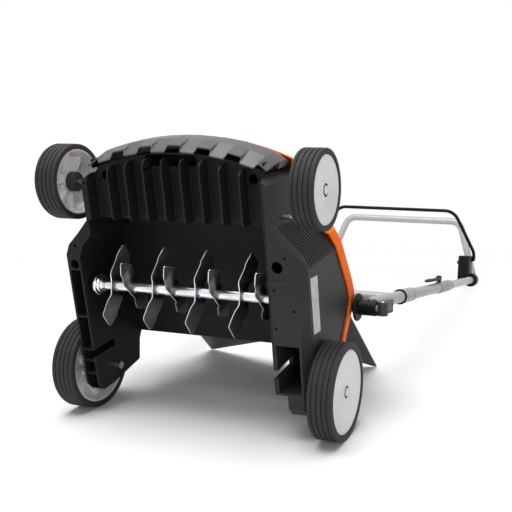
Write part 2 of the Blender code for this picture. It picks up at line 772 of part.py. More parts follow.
def hood_panel(name, us, ys, look, frame, holes=()):
    """A panel of the hood's surface, thickened inwards."""
    shape = bmesh.new()
    grid = [[shape.verts.new(hood_point(u, y)) for u in us] for y in ys]
    for j in range(len(ys) - 1):
        for i in range(len(us) - 1):
            u = (us[i] + us[i + 1]) / 2
            y = (ys[j] + ys[j + 1]) / 2
            if any(abs(u) < half and front < y < rear for half, front, rear in holes):
                continue
            shape.faces.new((grid[j][i], grid[j][i + 1], grid[j + 1][i + 1], grid[j + 1][i]))
    loose = [spot for spot in shape.verts if not spot.link_faces]
    bmesh.ops.delete(shape, geom=loose, context="VERTS")
    mesh = bpy.data.meshes.new(name)
    shape.to_mesh(mesh)
    shape.free()
    mesh.shade_smooth()
    made = link(name, mesh, look, frame)
    wall = made.modifiers.new("wall", "SOLIDIFY")
    wall.thickness = HOOD_T
    wall.offset = -1.0
    return made


def make_hood(frame):
    """Orange hood, dark fascia and the battery lid, cut from one surface."""
    holes = ((FASCIA_U, -0.6, FASCIA_END), (FASCIA_U, LID_FRONT, LID_REAR),
             (HINGE_U, LID_REAR, 0.2))
    hood = hood_panel("hood", HOOD_U, HOOD_Y, ORANGE, frame, holes)
    for side in (-1, 1):
        ends = sorted((side * (FLAP_EAR_X - 0.006), side * FLAP_EAR_X))
        ear = [(LID_REAR - 0.018, FLAP_Z - 0.026), (FLAP_Y, FLAP_Z - 0.007),
               (FLAP_Y + 0.006, FLAP_Z - 0.003), (FLAP_Y + 0.006, FLAP_Z + 0.004),
               (FLAP_Y, FLAP_Z + 0.007), (LID_REAR - 0.018, FLAP_Z - 0.006)]
        join(hood, outline_mesh("flap_ear", ear, *ends, "side"), frame)
    cut(hood, rod_mesh("ear_bore", bore(FLAP_PIN_R, 12), -0.3, 0.3, 12, "X", (FLAP_Y, FLAP_Z)), frame)
    cut(hood, rod_mesh("stud_way", bore(STUD_R), -0.3, 0.3, 16, "X", (HANDLE_Y, HANDLE_Z)), frame)
    edge = FASCIA_U - 0.004
    inner_u = [-edge, -0.10, 0.0, 0.10, edge]
    fascia_y = [y for y in HOOD_Y if y < FASCIA_END] + [FASCIA_END - PANEL_GAP]
    hood_panel("hood_fascia", inner_u, fascia_y, BUMPER, frame)
    hinge = hood_point(0.0, LID_REAR)
    lid_axis = empty("lid_axis", frame, (0.0, LID_REAR - PANEL_GAP, hinge.z))
    lid_y = [LID_FRONT + PANEL_GAP] + [y for y in HOOD_Y if LID_FRONT < y < LID_REAR]
    lid_y.append(LID_REAR - PANEL_GAP)
    lid = hood_panel("battery_lid", inner_u, lid_y, BUMPER, lid_axis)
    lid.data.transform(Matrix.Translation((0.0, PANEL_GAP - LID_REAR, -hinge.z)))
    return lid_axis


def make_interior(frame):
    """Battery, tray, controller and motor in the upper space."""
    top = CEILING_Z + WALL + SEAT
    front = -0.248
    rear = front + 2 * TRAY_WALL + 2 * SEAT + BATTERY_LONG
    left = BATTERY_X - BATTERY_WIDE / 2 - SEAT - TRAY_WALL
    right = BATTERY_X + BATTERY_WIDE / 2 + SEAT + TRAY_WALL
    tray = link("battery_tray", box_mesh("battery_tray", (left, front, top),
                                         (right, rear, top + 0.030)), BLACK, frame)
    inset = TRAY_WALL
    cut(tray, box_mesh("tray_hollow", (left + inset, front + inset, top + TRAY_WALL),
                       (right - inset, rear - inset, top + 0.1)), frame)
    inset = TRAY_WALL + SEAT
    bottom = top + TRAY_WALL + SEAT
    battery = link("battery", box_mesh("battery", (left + inset, front + inset, bottom),
                                       (right - inset, rear - inset, bottom + BATTERY_HIGH)),
                   BLACK, frame)
    rounded(battery, 0.004, 1)
    floor = CHIN_Z + WALL + SEAT
    controller = box_mesh("controller", (-0.060, -0.435, floor), (0.060, -0.375, floor + 0.028))
    link("controller", controller, BLACK, frame)

    motor_axis = empty("motor_axis", frame, (0.0, MOTOR_Y, MOTOR_Z))
    can = [(0.0, MOTOR_X1), (0.012, MOTOR_X1), (0.012, MOTOR_X1 - 0.004),
           (MOTOR_R - 0.003, MOTOR_X1 - 0.004), (MOTOR_R, MOTOR_X1 - 0.008),
           (MOTOR_R, MOTOR_X0 + 0.004), (MOTOR_R - 0.004, MOTOR_X0), (0.0, MOTOR_X0)]
    turned("motor", can, BLACK, motor_axis, ROUND_STEPS)
    spindle = MOTOR_X1 + SEAT
    face = PULLEY_X + PULLEY_W / 2
    pulley = [(0.0, face + 0.003), (0.005, face + 0.003), (0.005, face),
              (MOTOR_PULLEY_R, face), (MOTOR_PULLEY_R, face - PULLEY_W),
              (0.005, face - PULLEY_W), (0.005, spindle), (0.0, spindle)]
    turned("motor_pulley", pulley, ZINC, motor_axis, ROUND_STEPS)


def belt_outline(r_low, r_high):
    """The belt's loop round both pulleys, as a closed outline of (y, z)."""
    dy = MOTOR_Y - ROTOR_Y
    dz = MOTOR_Z - ROTOR_Z
    lean = atan2(dz, dy)
    spread = asin((r_low - r_high) / hypot(dy, dz))
    points = []
    for centre, radius, start, end in (
            ((MOTOR_Y, MOTOR_Z), r_high, lean - pi / 2 + spread, lean + pi / 2 - spread),
            ((ROTOR_Y, ROTOR_Z), r_low, lean + pi / 2 - spread, lean + 3 * pi / 2 + spread)):
        for i in range(10):
            a = start + (end - start) * i / 9
            points.append((centre[0] + radius * cos(a), centre[1] + radius * sin(a)))
    return points


def make_belt(frame):
    """The toothed belt, drawn as a plain band."""
    low = PULLEY_X - BELT_W / 2
    high = PULLEY_X + BELT_W / 2
    gap = 0.0006
    outer = belt_outline(ROTOR_PULLEY_R + gap + BELT_T, MOTOR_PULLEY_R + gap + BELT_T)
    inner = belt_outline(ROTOR_PULLEY_R + gap, MOTOR_PULLEY_R + gap)
    belt = link("drive_belt", outline_mesh("drive_belt", outer, low, high, "side"), RUBBER, frame)
    cut(belt, outline_mesh("belt_inside", inner, low - 0.01, high + 0.01, "side"), frame)


def blade_stations(crank):
    """Half a blade from hub to tip: (reach, half width, sideways)."""
    shoulder = BLADE_R - 0.031
    along = (shoulder - BLADE_BEND_START) / (BLADE_BEND_END - BLADE_BEND_START)
    return [
        (0.000, BLADE_HALF + 0.0020, 0.0),
        (BLADE_BEND_START, BLADE_HALF + 0.0010, 0.0),
        (shoulder, BLADE_HALF, crank * along),
        (BLADE_BEND_END, BLADE_HALF - 0.0018, crank),
        (BLADE_R - 0.018, BLADE_HALF - 0.0036, crank),
        (BLADE_R, 0.0010, crank),
    ]


def make_blade(name, x, turn, crank, rotor_axis):
    """A double-ended blade, its arms bent to opposite sides."""
    half = blade_stations(crank)
    rows = [(-s, w, -b) for s, w, b in reversed(half[1:])] + half
    shape = bmesh.new()
    rings = []
    for reach, width, sideways in rows:
        ring = []
        for across, through in ((-1, -1), (1, -1), (1, 1), (-1, 1)):
            along = across * width
            spot = (x + sideways + through * BLADE_T / 2,
                    reach * cos(turn) - along * sin(turn),
                    reach * sin(turn) + along * cos(turn))
            ring.append(shape.verts.new(spot))
        rings.append(ring)
    for here, there in zip(rings, rings[1:]):
        for k in range(4):
            shape.faces.new((here[k], here[(k + 1) % 4], there[(k + 1) % 4], there[k]))
    shape.faces.new(rings[0])
    shape.faces.new(list(reversed(rings[-1])))
    bmesh.ops.recalc_face_normals(shape, faces=shape.faces)
    mesh = bpy.data.meshes.new(name)
    shape.to_mesh(mesh)
    shape.free()
    blade = link(name, mesh, BLADE, rotor_axis)
    cut(blade, rod_mesh("blade_bore", bore(SHAFT_R), x - 0.01, x + 0.01, 16), rotor_axis)
    return blade


def make_rotor(frame):
    """Shaft, blades, pulley and the two bearings."""
    rotor_axis = empty("rotor_axis", frame, (0.0, ROTOR_Y, ROTOR_Z))
    left = INNER_LEFT + 0.004
    right = PULLEY_X + PULLEY_W / 2 + 0.004
    step_left = INNER_LEFT + LEFT_BOSS
    step_right = INNER_RIGHT - 0.003
    flat = PULLEY_X - PULLEY_W / 2
    shaft = [(0.0, right), (JOURNAL_R - 0.002, right), (JOURNAL_R - 0.002, flat),
             (JOURNAL_R, flat), (JOURNAL_R, step_right), (SHAFT_R, step_right),
             (SHAFT_R, step_left), (JOURNAL_R, step_left), (JOURNAL_R, left), (0.0, left)]
    turned("rotor_shaft", shaft, ZINC, rotor_axis, ROUND_STEPS)
    for i in range(BLADE_PAIRS):
        x = BLADE_A_X + i * BLADE_PITCH
        make_blade("blade_a%d" % (i + 1), x, BLADE_A_TURN, BLADE_A_CRANK, rotor_axis)
        x = BLADE_B_X + i * BLADE_PITCH
        make_blade("blade_b%d" % (i + 1), x, BLADE_B_TURN, BLADE_B_CRANK, rotor_axis)
    hole = bore(JOURNAL_R - 0.002)
    rim = ROTOR_PULLEY_R
    pulley = [(hole, flat + SEAT), (hole, flat + PULLEY_W), (rim, flat + PULLEY_W),
              (rim, flat + SEAT)]
    turned("rotor_pulley", pulley, ZINC, rotor_axis, ROUND_STEPS, closed=True)

    fixed_axis = empty("bearing_axis", frame, (0.0, ROTOR_Y, ROTOR_Z))
    hole = bore(JOURNAL_R)
    near = INNER_LEFT + SEAT
    cup = [(hole, near), (hole, step_left - RUN), (0.012, step_left - RUN),
           (0.012, near + 0.017), (BEARING_R, near + 0.017), (BEARING_R, near)]
    turned("bearing_left", cup, ZINC, fixed_axis, ROUND_STEPS, closed=True)
    start = INNER_RIGHT
    ring = [(hole, start), (hole, start + WALL), (BEARING_R, start + WALL), (BEARING_R, start)]
    turned("bearing_right", ring, BRASS, fixed_axis, ROUND_STEPS, closed=True)


def make_wheel(name, axis, radius, width, outer, side):
    """A wheel of tyre, rim and hub cap on its own axle."""
    inner = outer - width
    seat = radius - TYRE_WALL
    lands = 2 * TREAD_GROOVES + 1
    shoulder = 0.006
    span = width - 2 * shoulder
    tyre = [(seat, inner), (radius - 0.004, inner)]
    for i in range(lands):
        depth = GROOVE_DEPTH if i % 2 else 0.0
        tyre.append((radius - depth, inner + shoulder + span * i / (lands - 1)))
    tyre += [(radius - 0.004, outer), (seat, outer)]
    rim_out = seat - SEAT
    hole = bore(AXLE_R, WHEEL_STEPS)
    hub = 0.020
    web = inner + width * 0.72
    rim = [(rim_out, inner + 0.002), (rim_out, outer - 0.004), (rim_out - 0.003, outer - 0.004),
           (rim_out - 0.003, web + 0.003), (hub, web + 0.003), (hub, outer - 0.009),
           (hole, outer - 0.009), (hole, inner + 0.006),
           (hub, inner + 0.006), (hub, web), (rim_out - 0.006, web),
           (rim_out - 0.004, inner + 0.002)]
    cap_r = rim_out - 0.004
    cap = [(0.0, outer - 0.002), (0.010, outer - 0.002), (0.012, outer - 0.005),
           (0.030, outer - 0.006), (cap_r - 0.008, outer - 0.0015), (cap_r, outer - 0.002),
           (cap_r, outer - 0.006), (0.0, outer - 0.0085)]
    for piece, profile, look, loop in (("tyre", tyre, RUBBER, True), ("rim", rim, RIM, True),
                                       ("cap", cap, CAP, False)):
        placed = [(r, side * s) for r, s in profile]
        outward = placed if (loop is False) == (side > 0) else placed[::-1]
        turned("%s_%s" % (name, piece), outward, look, axis, WHEEL_STEPS, closed=loop)


def make_wheels(frame, crank_axis):
    """Four wheels, the rear axle pins and the cranked front axle."""
    for side, word in ((-1, "left"), (1, "right")):
        rear_axis = empty("rear_wheel_axis_" + word, frame, (0.0, 0.0, 0.0))
        make_wheel("rear_wheel_" + word, rear_axis, REAR_WHEEL_R, REAR_WHEEL_W,
                   REAR_TRACK_HALF, side)
        front_axis = empty("front_wheel_axis_" + word, crank_axis, (0.0, -CRANK_ARM, 0.0))
        make_wheel("front_wheel_" + word, front_axis, FRONT_WHEEL_R, FRONT_WHEEL_W,
                   FRONT_TRACK_HALF, side)
        tip = side * (REAR_TRACK_HALF - 0.009)
        seat = side * ((ARM_FOOT_X if side > 0 else -INNER_LEFT) - SEAT)
        root = seat - side * AXLE_HEAD_LONG
        pin = [(0.0, tip), (AXLE_R, tip), (AXLE_R, seat), (AXLE_HEAD_R, seat), (AXLE_HEAD_R, root),
               (0.0, root)]
        turned("rear_axle_pin_" + word, pin if side > 0 else pin[::-1], ZINC, rear_axis, 16)

    tip = FRONT_TRACK_HALF - 0.009
    elbow = FRONT_TRACK_HALF - FRONT_WHEEL_W - 0.009
    half = [(0.0, 0.0, 0.0), (CRANK_X, 0.0, 0.0), (elbow, -CRANK_ARM, 0.0), (tip, -CRANK_ARM, 0.0)]
    path = [(-x, y, z) for x, y, z in reversed(half[1:])] + half[1:]
    link("front_axle", tube_mesh("front_axle", path, AXLE_R, 3), ZINC, crank_axis)

    low = -NOSE_HALF - HOOD_OVER - 0.010
    high = -NOSE_HALF - HOOD_OVER - 0.003
    plate = [(-0.012, -0.012), (0.012, -0.012), (0.012, 0.010), (-0.030, 0.120),
             (-0.046, 0.120), (-0.014, 0.004)]
    lever = link("depth_lever", outline_mesh("depth_lever", plate, low, high, "side"),
                 BLACK, crank_axis)
    knob = outline_mesh("lever_knob", [(-0.052, 0.112), (-0.024, 0.112), (-0.026, 0.150),
                                       (-0.056, 0.150)], low - 0.006, high, "side")
    join(lever, knob, crank_axis)
    cut(lever, rod_mesh("lever_bore", bore(AXLE_R), low - 0.01, high + 0.01, 16), crank_axis)


def make_flap(frame):
    """The discharge flap, its hinge knuckles and its pin."""
    flap_axis = empty("flap_axis", frame, (0.0, FLAP_Y, FLAP_Z), FLAP_ANGLE)
    inner = FLAP_PIN_R + 0.003
    outline = [(-FLAP_HALF, inner), (FLAP_HALF, inner), (FLAP_HALF + 0.006, FLAP_LONG),
               (FLAP_HALF - 0.006, FLAP_LONG - 0.003), (0.030, FLAP_LONG - FLAP_ARCH + 0.006),
               (0.0, FLAP_LONG - FLAP_ARCH), (-0.030, FLAP_LONG - FLAP_ARCH + 0.006),
               (0.006 - FLAP_HALF, FLAP_LONG - 0.003), (-FLAP_HALF - 0.006, FLAP_LONG)]
    plate = outline_mesh("discharge_flap", outline, -FLAP_T / 2, FLAP_T / 2, "plan")
    flap = link("discharge_flap", plate, HOUSING, flap_axis)
    for x in (-0.16, 0.0, 0.16):
        join(flap, rod_mesh("knuckle", FLAP_PIN_R + 0.004, x - 0.025, x + 0.025, 12), flap_axis)
    cut(flap, rod_mesh("knuckle_bore", bore(FLAP_PIN_R, 12), -0.3, 0.3, 12), flap_axis)
    pin = rod_mesh("flap_pin", FLAP_PIN_R, -FLAP_EAR_X - 0.002, FLAP_EAR_X + 0.002, 12)
    link("flap_pin", pin, ZINC, flap_axis)


def rounded_path(corners, radius, steps=5):
    """A path of straight runs, its inner corners rounded to a radius."""
    corners = [Vector(place) for place in corners]
    path = [corners[0]]
    for before, corner, after in zip(corners, corners[1:], corners[2:]):
        back = (before - corner).normalized()
        on = (after - corner).normalized()
        half = back.angle(on) / 2
        reach = radius * cos(half) / sin(half)
        centre = corner + (back + on).normalized() * radius / sin(half)
        start = corner + back * reach - centre
        end = corner + on * reach - centre
        turn = start.rotation_difference(end)
        axis, angle = turn.to_axis_angle()
        for i in range(steps + 1):
            path.append(centre + Matrix.Rotation(angle * i / steps, 3, axis) @ start)
    path.append(corners[-1])
    return path


def cam_outline(side, long, thick):
    """A quick-release lever seen from above: a round cam and a flat arm."""
    arc = [(CAM_R * cos(a), CAM_R * sin(a)) for a in (pi + pi * i / 10 for i in range(11))]
    arm = [(CAM_R, 0.004), (-CAM_R + thick + 0.002, 0.020), (-CAM_R + thick, long),
           (-CAM_R, long), (-CAM_R, 0.020)]
    return [(side * x, s) for x, s in arc + arm]


def make_side_of_handle(side, word, frame, handle_axis):
    """Pivot disc, stud, sleeves, clamps and levers of one leg."""
    def span(near, far):
        return min(side * near, side * far), max(side * near, side * far)

    pivot = (HANDLE_Y, HANDLE_Z)
    low = BODY_HALF + HOOD_OVER + SEAT
    pivot_axis = empty("pivot_axis_" + word, frame, (0.0, *pivot))
    hole = bore(STUD_R)
    disc = [(hole, low), (hole, low + DISC_T), (DISC_R - 0.002, low + DISC_T),
            (DISC_R, low + DISC_T - 0.002), (DISC_R, low + DISC_BOSS),
            (DISC_BOSS_R, low + DISC_BOSS), (DISC_BOSS_R, low)]
    disc = [(r, side * x) for r, x in disc]
    turned("pivot_disc_" + word, disc if side > 0 else disc[::-1], BLACK, pivot_axis, ROUND_STEPS,
           closed=True)
    outer = LEG_X + LEG_R
    stud = rod_mesh("pivot_stud_" + word, STUD_R, *span(BODY_HALF - 0.012, outer), 16, "X", pivot)
    link("pivot_stud_" + word, stud, ZINC, frame)

    lever_axis = empty("clamp_axis_" + word, handle_axis, (side * (outer + SEAT + CAM_R), 0.0, 0.0))
    plan = cam_outline(side, LEVER_LONG, LEVER_T)
    lever = outline_mesh("clamp_lever_" + word, plan, -LEVER_WIDE / 2, LEVER_WIDE / 2, "plan")
    link("clamp_lever_" + word, lever, BLACK, lever_axis)

    hole = bore(LEG_R)
    collar = SLEEVE_R + 0.0015
    sleeve = [(hole, SLEEVE_END), (SLEEVE_R - 0.001, SLEEVE_END), (SLEEVE_R, SLEEVE_END - 0.002),
              (SLEEVE_R, SLEEVE_START + 0.012), (collar, SLEEVE_START + 0.012),
              (collar, SLEEVE_START), (hole, SLEEVE_START)]
    made = turned("leg_sleeve_" + word, sleeve, SLEEVE, handle_axis, ROUND_STEPS, closed=True,
                  axis="Y")
    made.location = (side * LEG_X, 0.0, LEG_LIFT)
    for s in (SLEEVE_START + 0.035, SLEEVE_END - 0.025):
        rivet = rod_mesh("rivet", 0.0045, *span(LEG_X + LEG_R + 0.001, LEG_X + SLEEVE_R + 0.0012),
                         12, "X", (s, LEG_LIFT))
        join(made, rivet, handle_axis)

    step = LEG_END + SEAT
    slim = bore(TUBE_R)
    clamp = [(slim, CLAMP_END), (SLEEVE_R - 0.002, CLAMP_END), (SLEEVE_R - 0.002, CLAMP_END - 0.030),
             (SLEEVE_R, CLAMP_END - 0.034), (SLEEVE_R, CLAMP_START + 0.002),
             (SLEEVE_R - 0.001, CLAMP_START), (hole, CLAMP_START), (hole, step), (slim, step)]
    made = turned("slide_clamp_" + word, clamp, SLEEVE, handle_axis, ROUND_STEPS, closed=True,
                  axis="Y")
    made.location = (side * LEG_X, 0.0, LEG_LIFT)

    height = LEG_LIFT + SLEEVE_R + SEAT + SLIDE_CAM_R
    slide_axis = empty("slide_lever_axis_" + word, handle_axis,
                       (0.0, CLAMP_START + 0.004 + SLIDE_CAM_R, height))
    ends = span(LEG_X - SLIDE_LEVER_WIDE / 2, LEG_X + SLIDE_LEVER_WIDE / 2)
    lever = outline_mesh("slide_lever_" + word, slide_lever_outline(), *ends, "side")
    link("slide_lever_" + word, lever, BLACK, slide_axis)


def slide_lever_outline():
    """A slide clamp's lever from its side: a round cam and a thin arm."""
    under = -0.004
    top = under + SLIDE_LEVER_T
    arc = [(SLIDE_CAM_R * cos(a), SLIDE_CAM_R * sin(a)) for a in (2.2 - 4.6 * i / 12 for i in range(13))]
    return arc + [(-0.016, under), (-SLIDE_LEVER_LONG, under), (-SLIDE_LEVER_LONG, top - 0.003),
                  (0.012 - SLIDE_LEVER_LONG, top), (-0.014, top)]


def make_lower_handle(handle_axis):
    """Both legs and their crossbar, with a round knuckle at each pivot."""
    inner = BODY_HALF + HOOD_OVER + SEAT + DISC_T + SEAT
    outer = LEG_X + LEG_R
    lift = (LEG_X, LEG_LIFT)
    lower = link("lower_handle", rod_mesh("lower_handle", CROSSBAR_R, -LEG_X, LEG_X, 16, "X",
                                          (CROSSBAR_S, LEG_LIFT)), TUBE, handle_axis)
    for side in (-1, 1):
        ends = sorted((side * inner, side * outer))
        join(lower, rod_mesh("leg", LEG_R, 0.008, LEG_END, 16, "Y", (side * lift[0], lift[1])),
             handle_axis)
        join(lower, rod_mesh("knuckle", KNUCKLE_R, *ends, ROUND_STEPS, "X"), handle_axis)
    for side in (-1, 1):
        cut(lower, rod_mesh("stud_way", bore(STUD_R), min(side * 0.2, side * 0.4),
                            max(side * 0.2, side * 0.4), 16, "X"), handle_axis)
        cut(lower, rod_mesh("leg_bore", LEG_BORE, UPPER_START - 0.260, LEG_END + 0.01, 16, "Y",
                            (side * lift[0], lift[1])), handle_axis)
    return lower


def make_upper_handle(upper_axis):
    """The sliding loop with its grip bar, switch box, bracket and bail."""
    half = [(GRIP_BAR_HALF, GRIP_BAR_S, LEG_LIFT + GRIP_BAR_UP), (LEG_X, CORNER_S, LEG_LIFT),
            (LEG_X, UPPER_START, LEG_LIFT)]
    corners = [(-x, s, z) for x, s, z in reversed(half)] + half
    loop = tube_mesh("upper_handle", rounded_path(corners, BEND_R), TUBE_R, 4)
    link("upper_handle", loop, TUBE, upper_axis)

    top = LEG_LIFT + BOX_UP + BOX_HIGH
    for side, name in ((1, "switch_box"), (-1, "bail_bracket")):
        near = BOX_X - (BOX_WIDE if side > 0 else 0.014)
        ends = sorted((side * near, side * BOX_X))
        start = BOX_START if side > 0 else BAIL_S - 0.014
        block = box_mesh(name, (ends[0], start, LEG_LIFT), (ends[1], BOX_END, top))
        made = link(name, block, BLACK, upper_axis)
        rounded(made, 0.003, 1)
        join(made, rod_mesh("ring", RING_R, RING_START, RING_END, ROUND_STEPS, "Y",
                            (side * LEG_X, LEG_LIFT)), upper_axis)
        cut(made, rod_mesh("ring_bore", bore(TUBE_R), BOX_START - 0.01, BOX_END + 0.01, ROUND_STEPS,
                           "Y", (side * LEG_X, LEG_LIFT)), upper_axis)
        hole = sorted((side * (BOX_X - 0.009), side * (BOX_X + 0.01)))
        cut(made, rod_mesh("bail_seat", bore(BAIL_R), *hole, 16, "X",
                           (BAIL_S, LEG_LIFT + BAIL_UP)), upper_axis)
        if side > 0:
            face = near
            spot = (BOX_START + 0.030, LEG_LIFT + BOX_UP + 0.046)
            cut(made, rod_mesh("button_well", bore(BUTTON_R), face - 0.01, face + 0.012, 16,
                               "X", spot), upper_axis)
            button_axis = empty("button_axis", upper_axis, (face, *spot))
            button = rod_mesh("lock_button", BUTTON_R, -0.009, 0.012 - BUTTON_TRAVEL - SEAT, 16)
            link("lock_button", button, BLACK, button_axis)

    lean = atan2(GRIP_BAR_UP - BAIL_UP, GRIP_BAR_S - BAIL_S) + BAIL_OPEN
    tip_s = BAIL_REACH * cos(lean)
    tip_z = BAIL_REACH * sin(lean)
    leg = BOX_X + 0.002 + BAIL_R
    rise = BOX_UP + BOX_HIGH - BAIL_UP + 0.015
    half = [(BAIL_HALF, tip_s, tip_z), (leg, rise * cos(lean), rise * sin(lean)),
            (leg, 0.0, 0.0), (BOX_X - 0.008, 0.0, 0.0)]
    corners = [(-x, s, z) for x, s, z in reversed(half)] + half
    path = rounded_path(corners[1:-1], BAIL_BEND_R)
    path = [Vector(corners[0])] + path + [Vector(corners[-1])]
    bail_axis = empty("bail_axis", upper_axis, (0.0, BAIL_S, LEG_LIFT + BAIL_UP))
    link("bail", tube_mesh("bail", path, BAIL_R, 2), BLACK, bail_axis)


def make_handle(frame):
    """The folding, telescopic handlebar."""
    handle_axis = empty("handle_axis", frame, (0.0, HANDLE_Y, HANDLE_Z), LEG_ANGLE)
    make_lower_handle(handle_axis)
    for side, word in ((-1, "left"), (1, "right")):
        make_side_of_handle(side, word, frame, handle_axis)
    upper_axis = empty("upper_axis", handle_axis, (0.0, 0.0, 0.0))
    make_upper_handle(upper_axis)


def main():
    """Build the whole machine."""
    frame = make_frame()
    make_housing(frame)
    make_drive_cover(frame)
    make_bumper(frame)
    make_hood(frame)
    make_interior(frame)
    make_rotor(frame)
    make_belt(frame)
    crank_axis = empty("crank_axis", frame, (0.0, CRANK_Y, CRANK_Z))
    make_wheels(frame, crank_axis)
    make_flap(frame)
    make_handle(frame)


main()
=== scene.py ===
"""Dresses the tipped-back lawn scarifier: its mouldings, wheels, rotor and handlebar."""
import json
from math import atan2, cos, pi, radians, sin, tan

import bpy
from bpy.props import FloatProperty, FloatVectorProperty, IntProperty, PointerProperty
from mathutils import Matrix, Vector


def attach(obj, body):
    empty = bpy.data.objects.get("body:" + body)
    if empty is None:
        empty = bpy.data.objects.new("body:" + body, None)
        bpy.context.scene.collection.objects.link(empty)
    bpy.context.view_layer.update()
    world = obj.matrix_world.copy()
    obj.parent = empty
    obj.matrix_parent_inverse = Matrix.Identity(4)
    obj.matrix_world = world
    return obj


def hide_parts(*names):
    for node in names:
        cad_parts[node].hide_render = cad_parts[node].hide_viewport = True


bl_info = {
    "name": "Lawn Scarifier Dresser",
    "version": (1, 0, 0),
    "blender": (4, 5, 0),
    "location": "3D View > Sidebar > Scarifier",
    "description": "Models and finishes the pieces of a battery lawn scarifier",
    "category": "Object",
}

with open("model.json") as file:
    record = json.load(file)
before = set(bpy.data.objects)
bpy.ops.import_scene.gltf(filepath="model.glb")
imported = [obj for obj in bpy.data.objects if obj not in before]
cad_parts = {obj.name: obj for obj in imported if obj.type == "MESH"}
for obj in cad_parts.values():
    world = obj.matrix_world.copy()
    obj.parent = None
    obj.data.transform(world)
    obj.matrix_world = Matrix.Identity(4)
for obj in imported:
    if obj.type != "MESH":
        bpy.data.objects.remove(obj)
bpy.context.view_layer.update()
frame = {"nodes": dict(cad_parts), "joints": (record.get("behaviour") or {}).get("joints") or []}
JOINTS = {joint["name"]: joint for joint in frame["joints"]}

REAR_AXLE = Vector(JOINTS["rear_wheel_left_spin"]["pos_m"])
MACHINE_UP = Vector(JOINTS["battery_slide"]["axis"])
TIP = atan2(MACHINE_UP.y, MACHINE_UP.z)
MACHINE = Matrix.Translation(REAR_AXLE) @ Matrix.Rotation(-TIP, 4, "X")
LEG_ALONG = Vector(JOINTS["handle_slide"]["axis"])
LEG = (Matrix.Translation(JOINTS["handle_fold"]["pos_m"])
       @ Matrix.Rotation(atan2(LEG_ALONG.z, LEG_ALONG.y), 4, "X"))


def in_machine(joint):
    """A joint's place in the upright machine's own frame."""
    return MACHINE.inverted() @ Vector(JOINTS[joint]["pos_m"])


# ---- Settings that a user would change

def length(name, default, description):
    """A size in metres."""
    return FloatProperty(name=name, default=default, unit="LENGTH", description=description)


def number(name, default, low, high, description):
    """A count of things that repeat."""
    return IntProperty(name=name, default=default, min=low, max=high, description=description)


def hue(name, default, description):
    """A base colour, in linear light."""
    return FloatVectorProperty(name=name, default=default, size=3, subtype="COLOR",
                               description=description)


class ScarifierWheels(bpy.types.PropertyGroup):
    """Sizes of the four wheels."""

    rear_radius: length("Rear radius", 0.100, "Radius over the rear tyres' tread")
    rear_width: length("Rear width", 0.051, "Width of a rear tyre")
    rear_track: length("Rear half track", 0.3185, "From the middle to a rear tyre's outer face")
    front_radius: length("Front radius", 0.0770, "Radius over the front tyres' tread")
    front_width: length("Front width", 0.047, "Width of a front tyre")
    front_track: length("Front half track", 0.2965,
                        "From the middle to a front tyre's outer face")
    grooves: number("Grooves", 4, 0, 8, "Grooves round each tread")
    pockets: number("Rim pockets", 8, 4, 12,
                    "Pockets between the spokes on each rim's inner side")


class ScarifierRotor(bpy.types.PropertyGroup):
    """Sizes of the rotor, measured from its axis."""

    shaft_radius: length("Shaft radius", 0.0115, "Radius of the bright shaft")
    blade_radius: length("Blade radius", 0.086, "Reach of a blade's tip")
    blade_half: length("Blade half width", 0.0165, "Half the width of a blade's arm")
    blade_thick: length("Blade thickness", 0.0020, "Thickness of a blade")
    blade_pairs: number("Blade pairs", 4, 1, 8, "Blades of each hand along the shaft")
    first_blade: length("First blade", -0.1755, "Place of the first blade across the machine")
    blade_pitch: length("Blade pitch", 0.0978, "Spacing of the blades of one hand")


class ScarifierHandlebar(bpy.types.PropertyGroup):
    """Sizes of the handlebar, measured from its pivot along the leg."""

    leg_spread: length("Leg spread", 0.305, "From the middle to a leg's axis")
    leg_radius: length("Leg radius", 0.0148, "Radius of the lower legs")
    leg_lift: length("Leg lift", 0.010, "Height of a leg's axis over the pivot")
    leg_end: length("Leg end", 0.695, "Far end of the lower legs")
    tube_radius: length("Loop radius", 0.0131, "Radius of the sliding loop's tube")
    sleeve_radius: length("Sleeve radius", 0.0178, "Radius of the sleeves and clamps")
    crossbar: length("Crossbar", 0.186, "Place of the crossbar along the legs")
    corner: length("Corner", 1.330, "Place of the loop's lower corners")
    bar: length("Grip bar", 1.3705, "Place of the grip bar along the legs")
    bar_rise: length("Grip bar rise", 0.219, "Height of the grip bar over the legs")
    bar_half: length("Grip bar half", 0.230, "Half the grip bar's length between its corners")


class ScarifierColours(bpy.types.PropertyGroup):
    """Base colours of the finishes."""

    housing: hue("Housing", (0.0100, 0.0103, 0.0112), "Matt dark moulding")
    bumper: hue("Bumper", (0.050, 0.052, 0.053), "Dark grey moulding")
    orange: hue("Hood", (0.90, 0.150, 0.003), "Orange moulding")
    rubber: hue("Tyre", (0.026, 0.0268, 0.0272), "Tyre rubber")
    cap: hue("Hub cap", (0.66, 0.66, 0.665), "Light grey hub cap")
    leg: hue("Lower legs", (0.34, 0.34, 0.345), "Grey powder coat")
    tube: hue("Handle tube", (0.45, 0.45, 0.455), "Light grey powder coat")


def chosen(group):
    """The scene's settings for the wheels, rotor, handlebar or colours."""
    return getattr(bpy.context.scene, "scarifier_" + group)


# ---- Shader maths

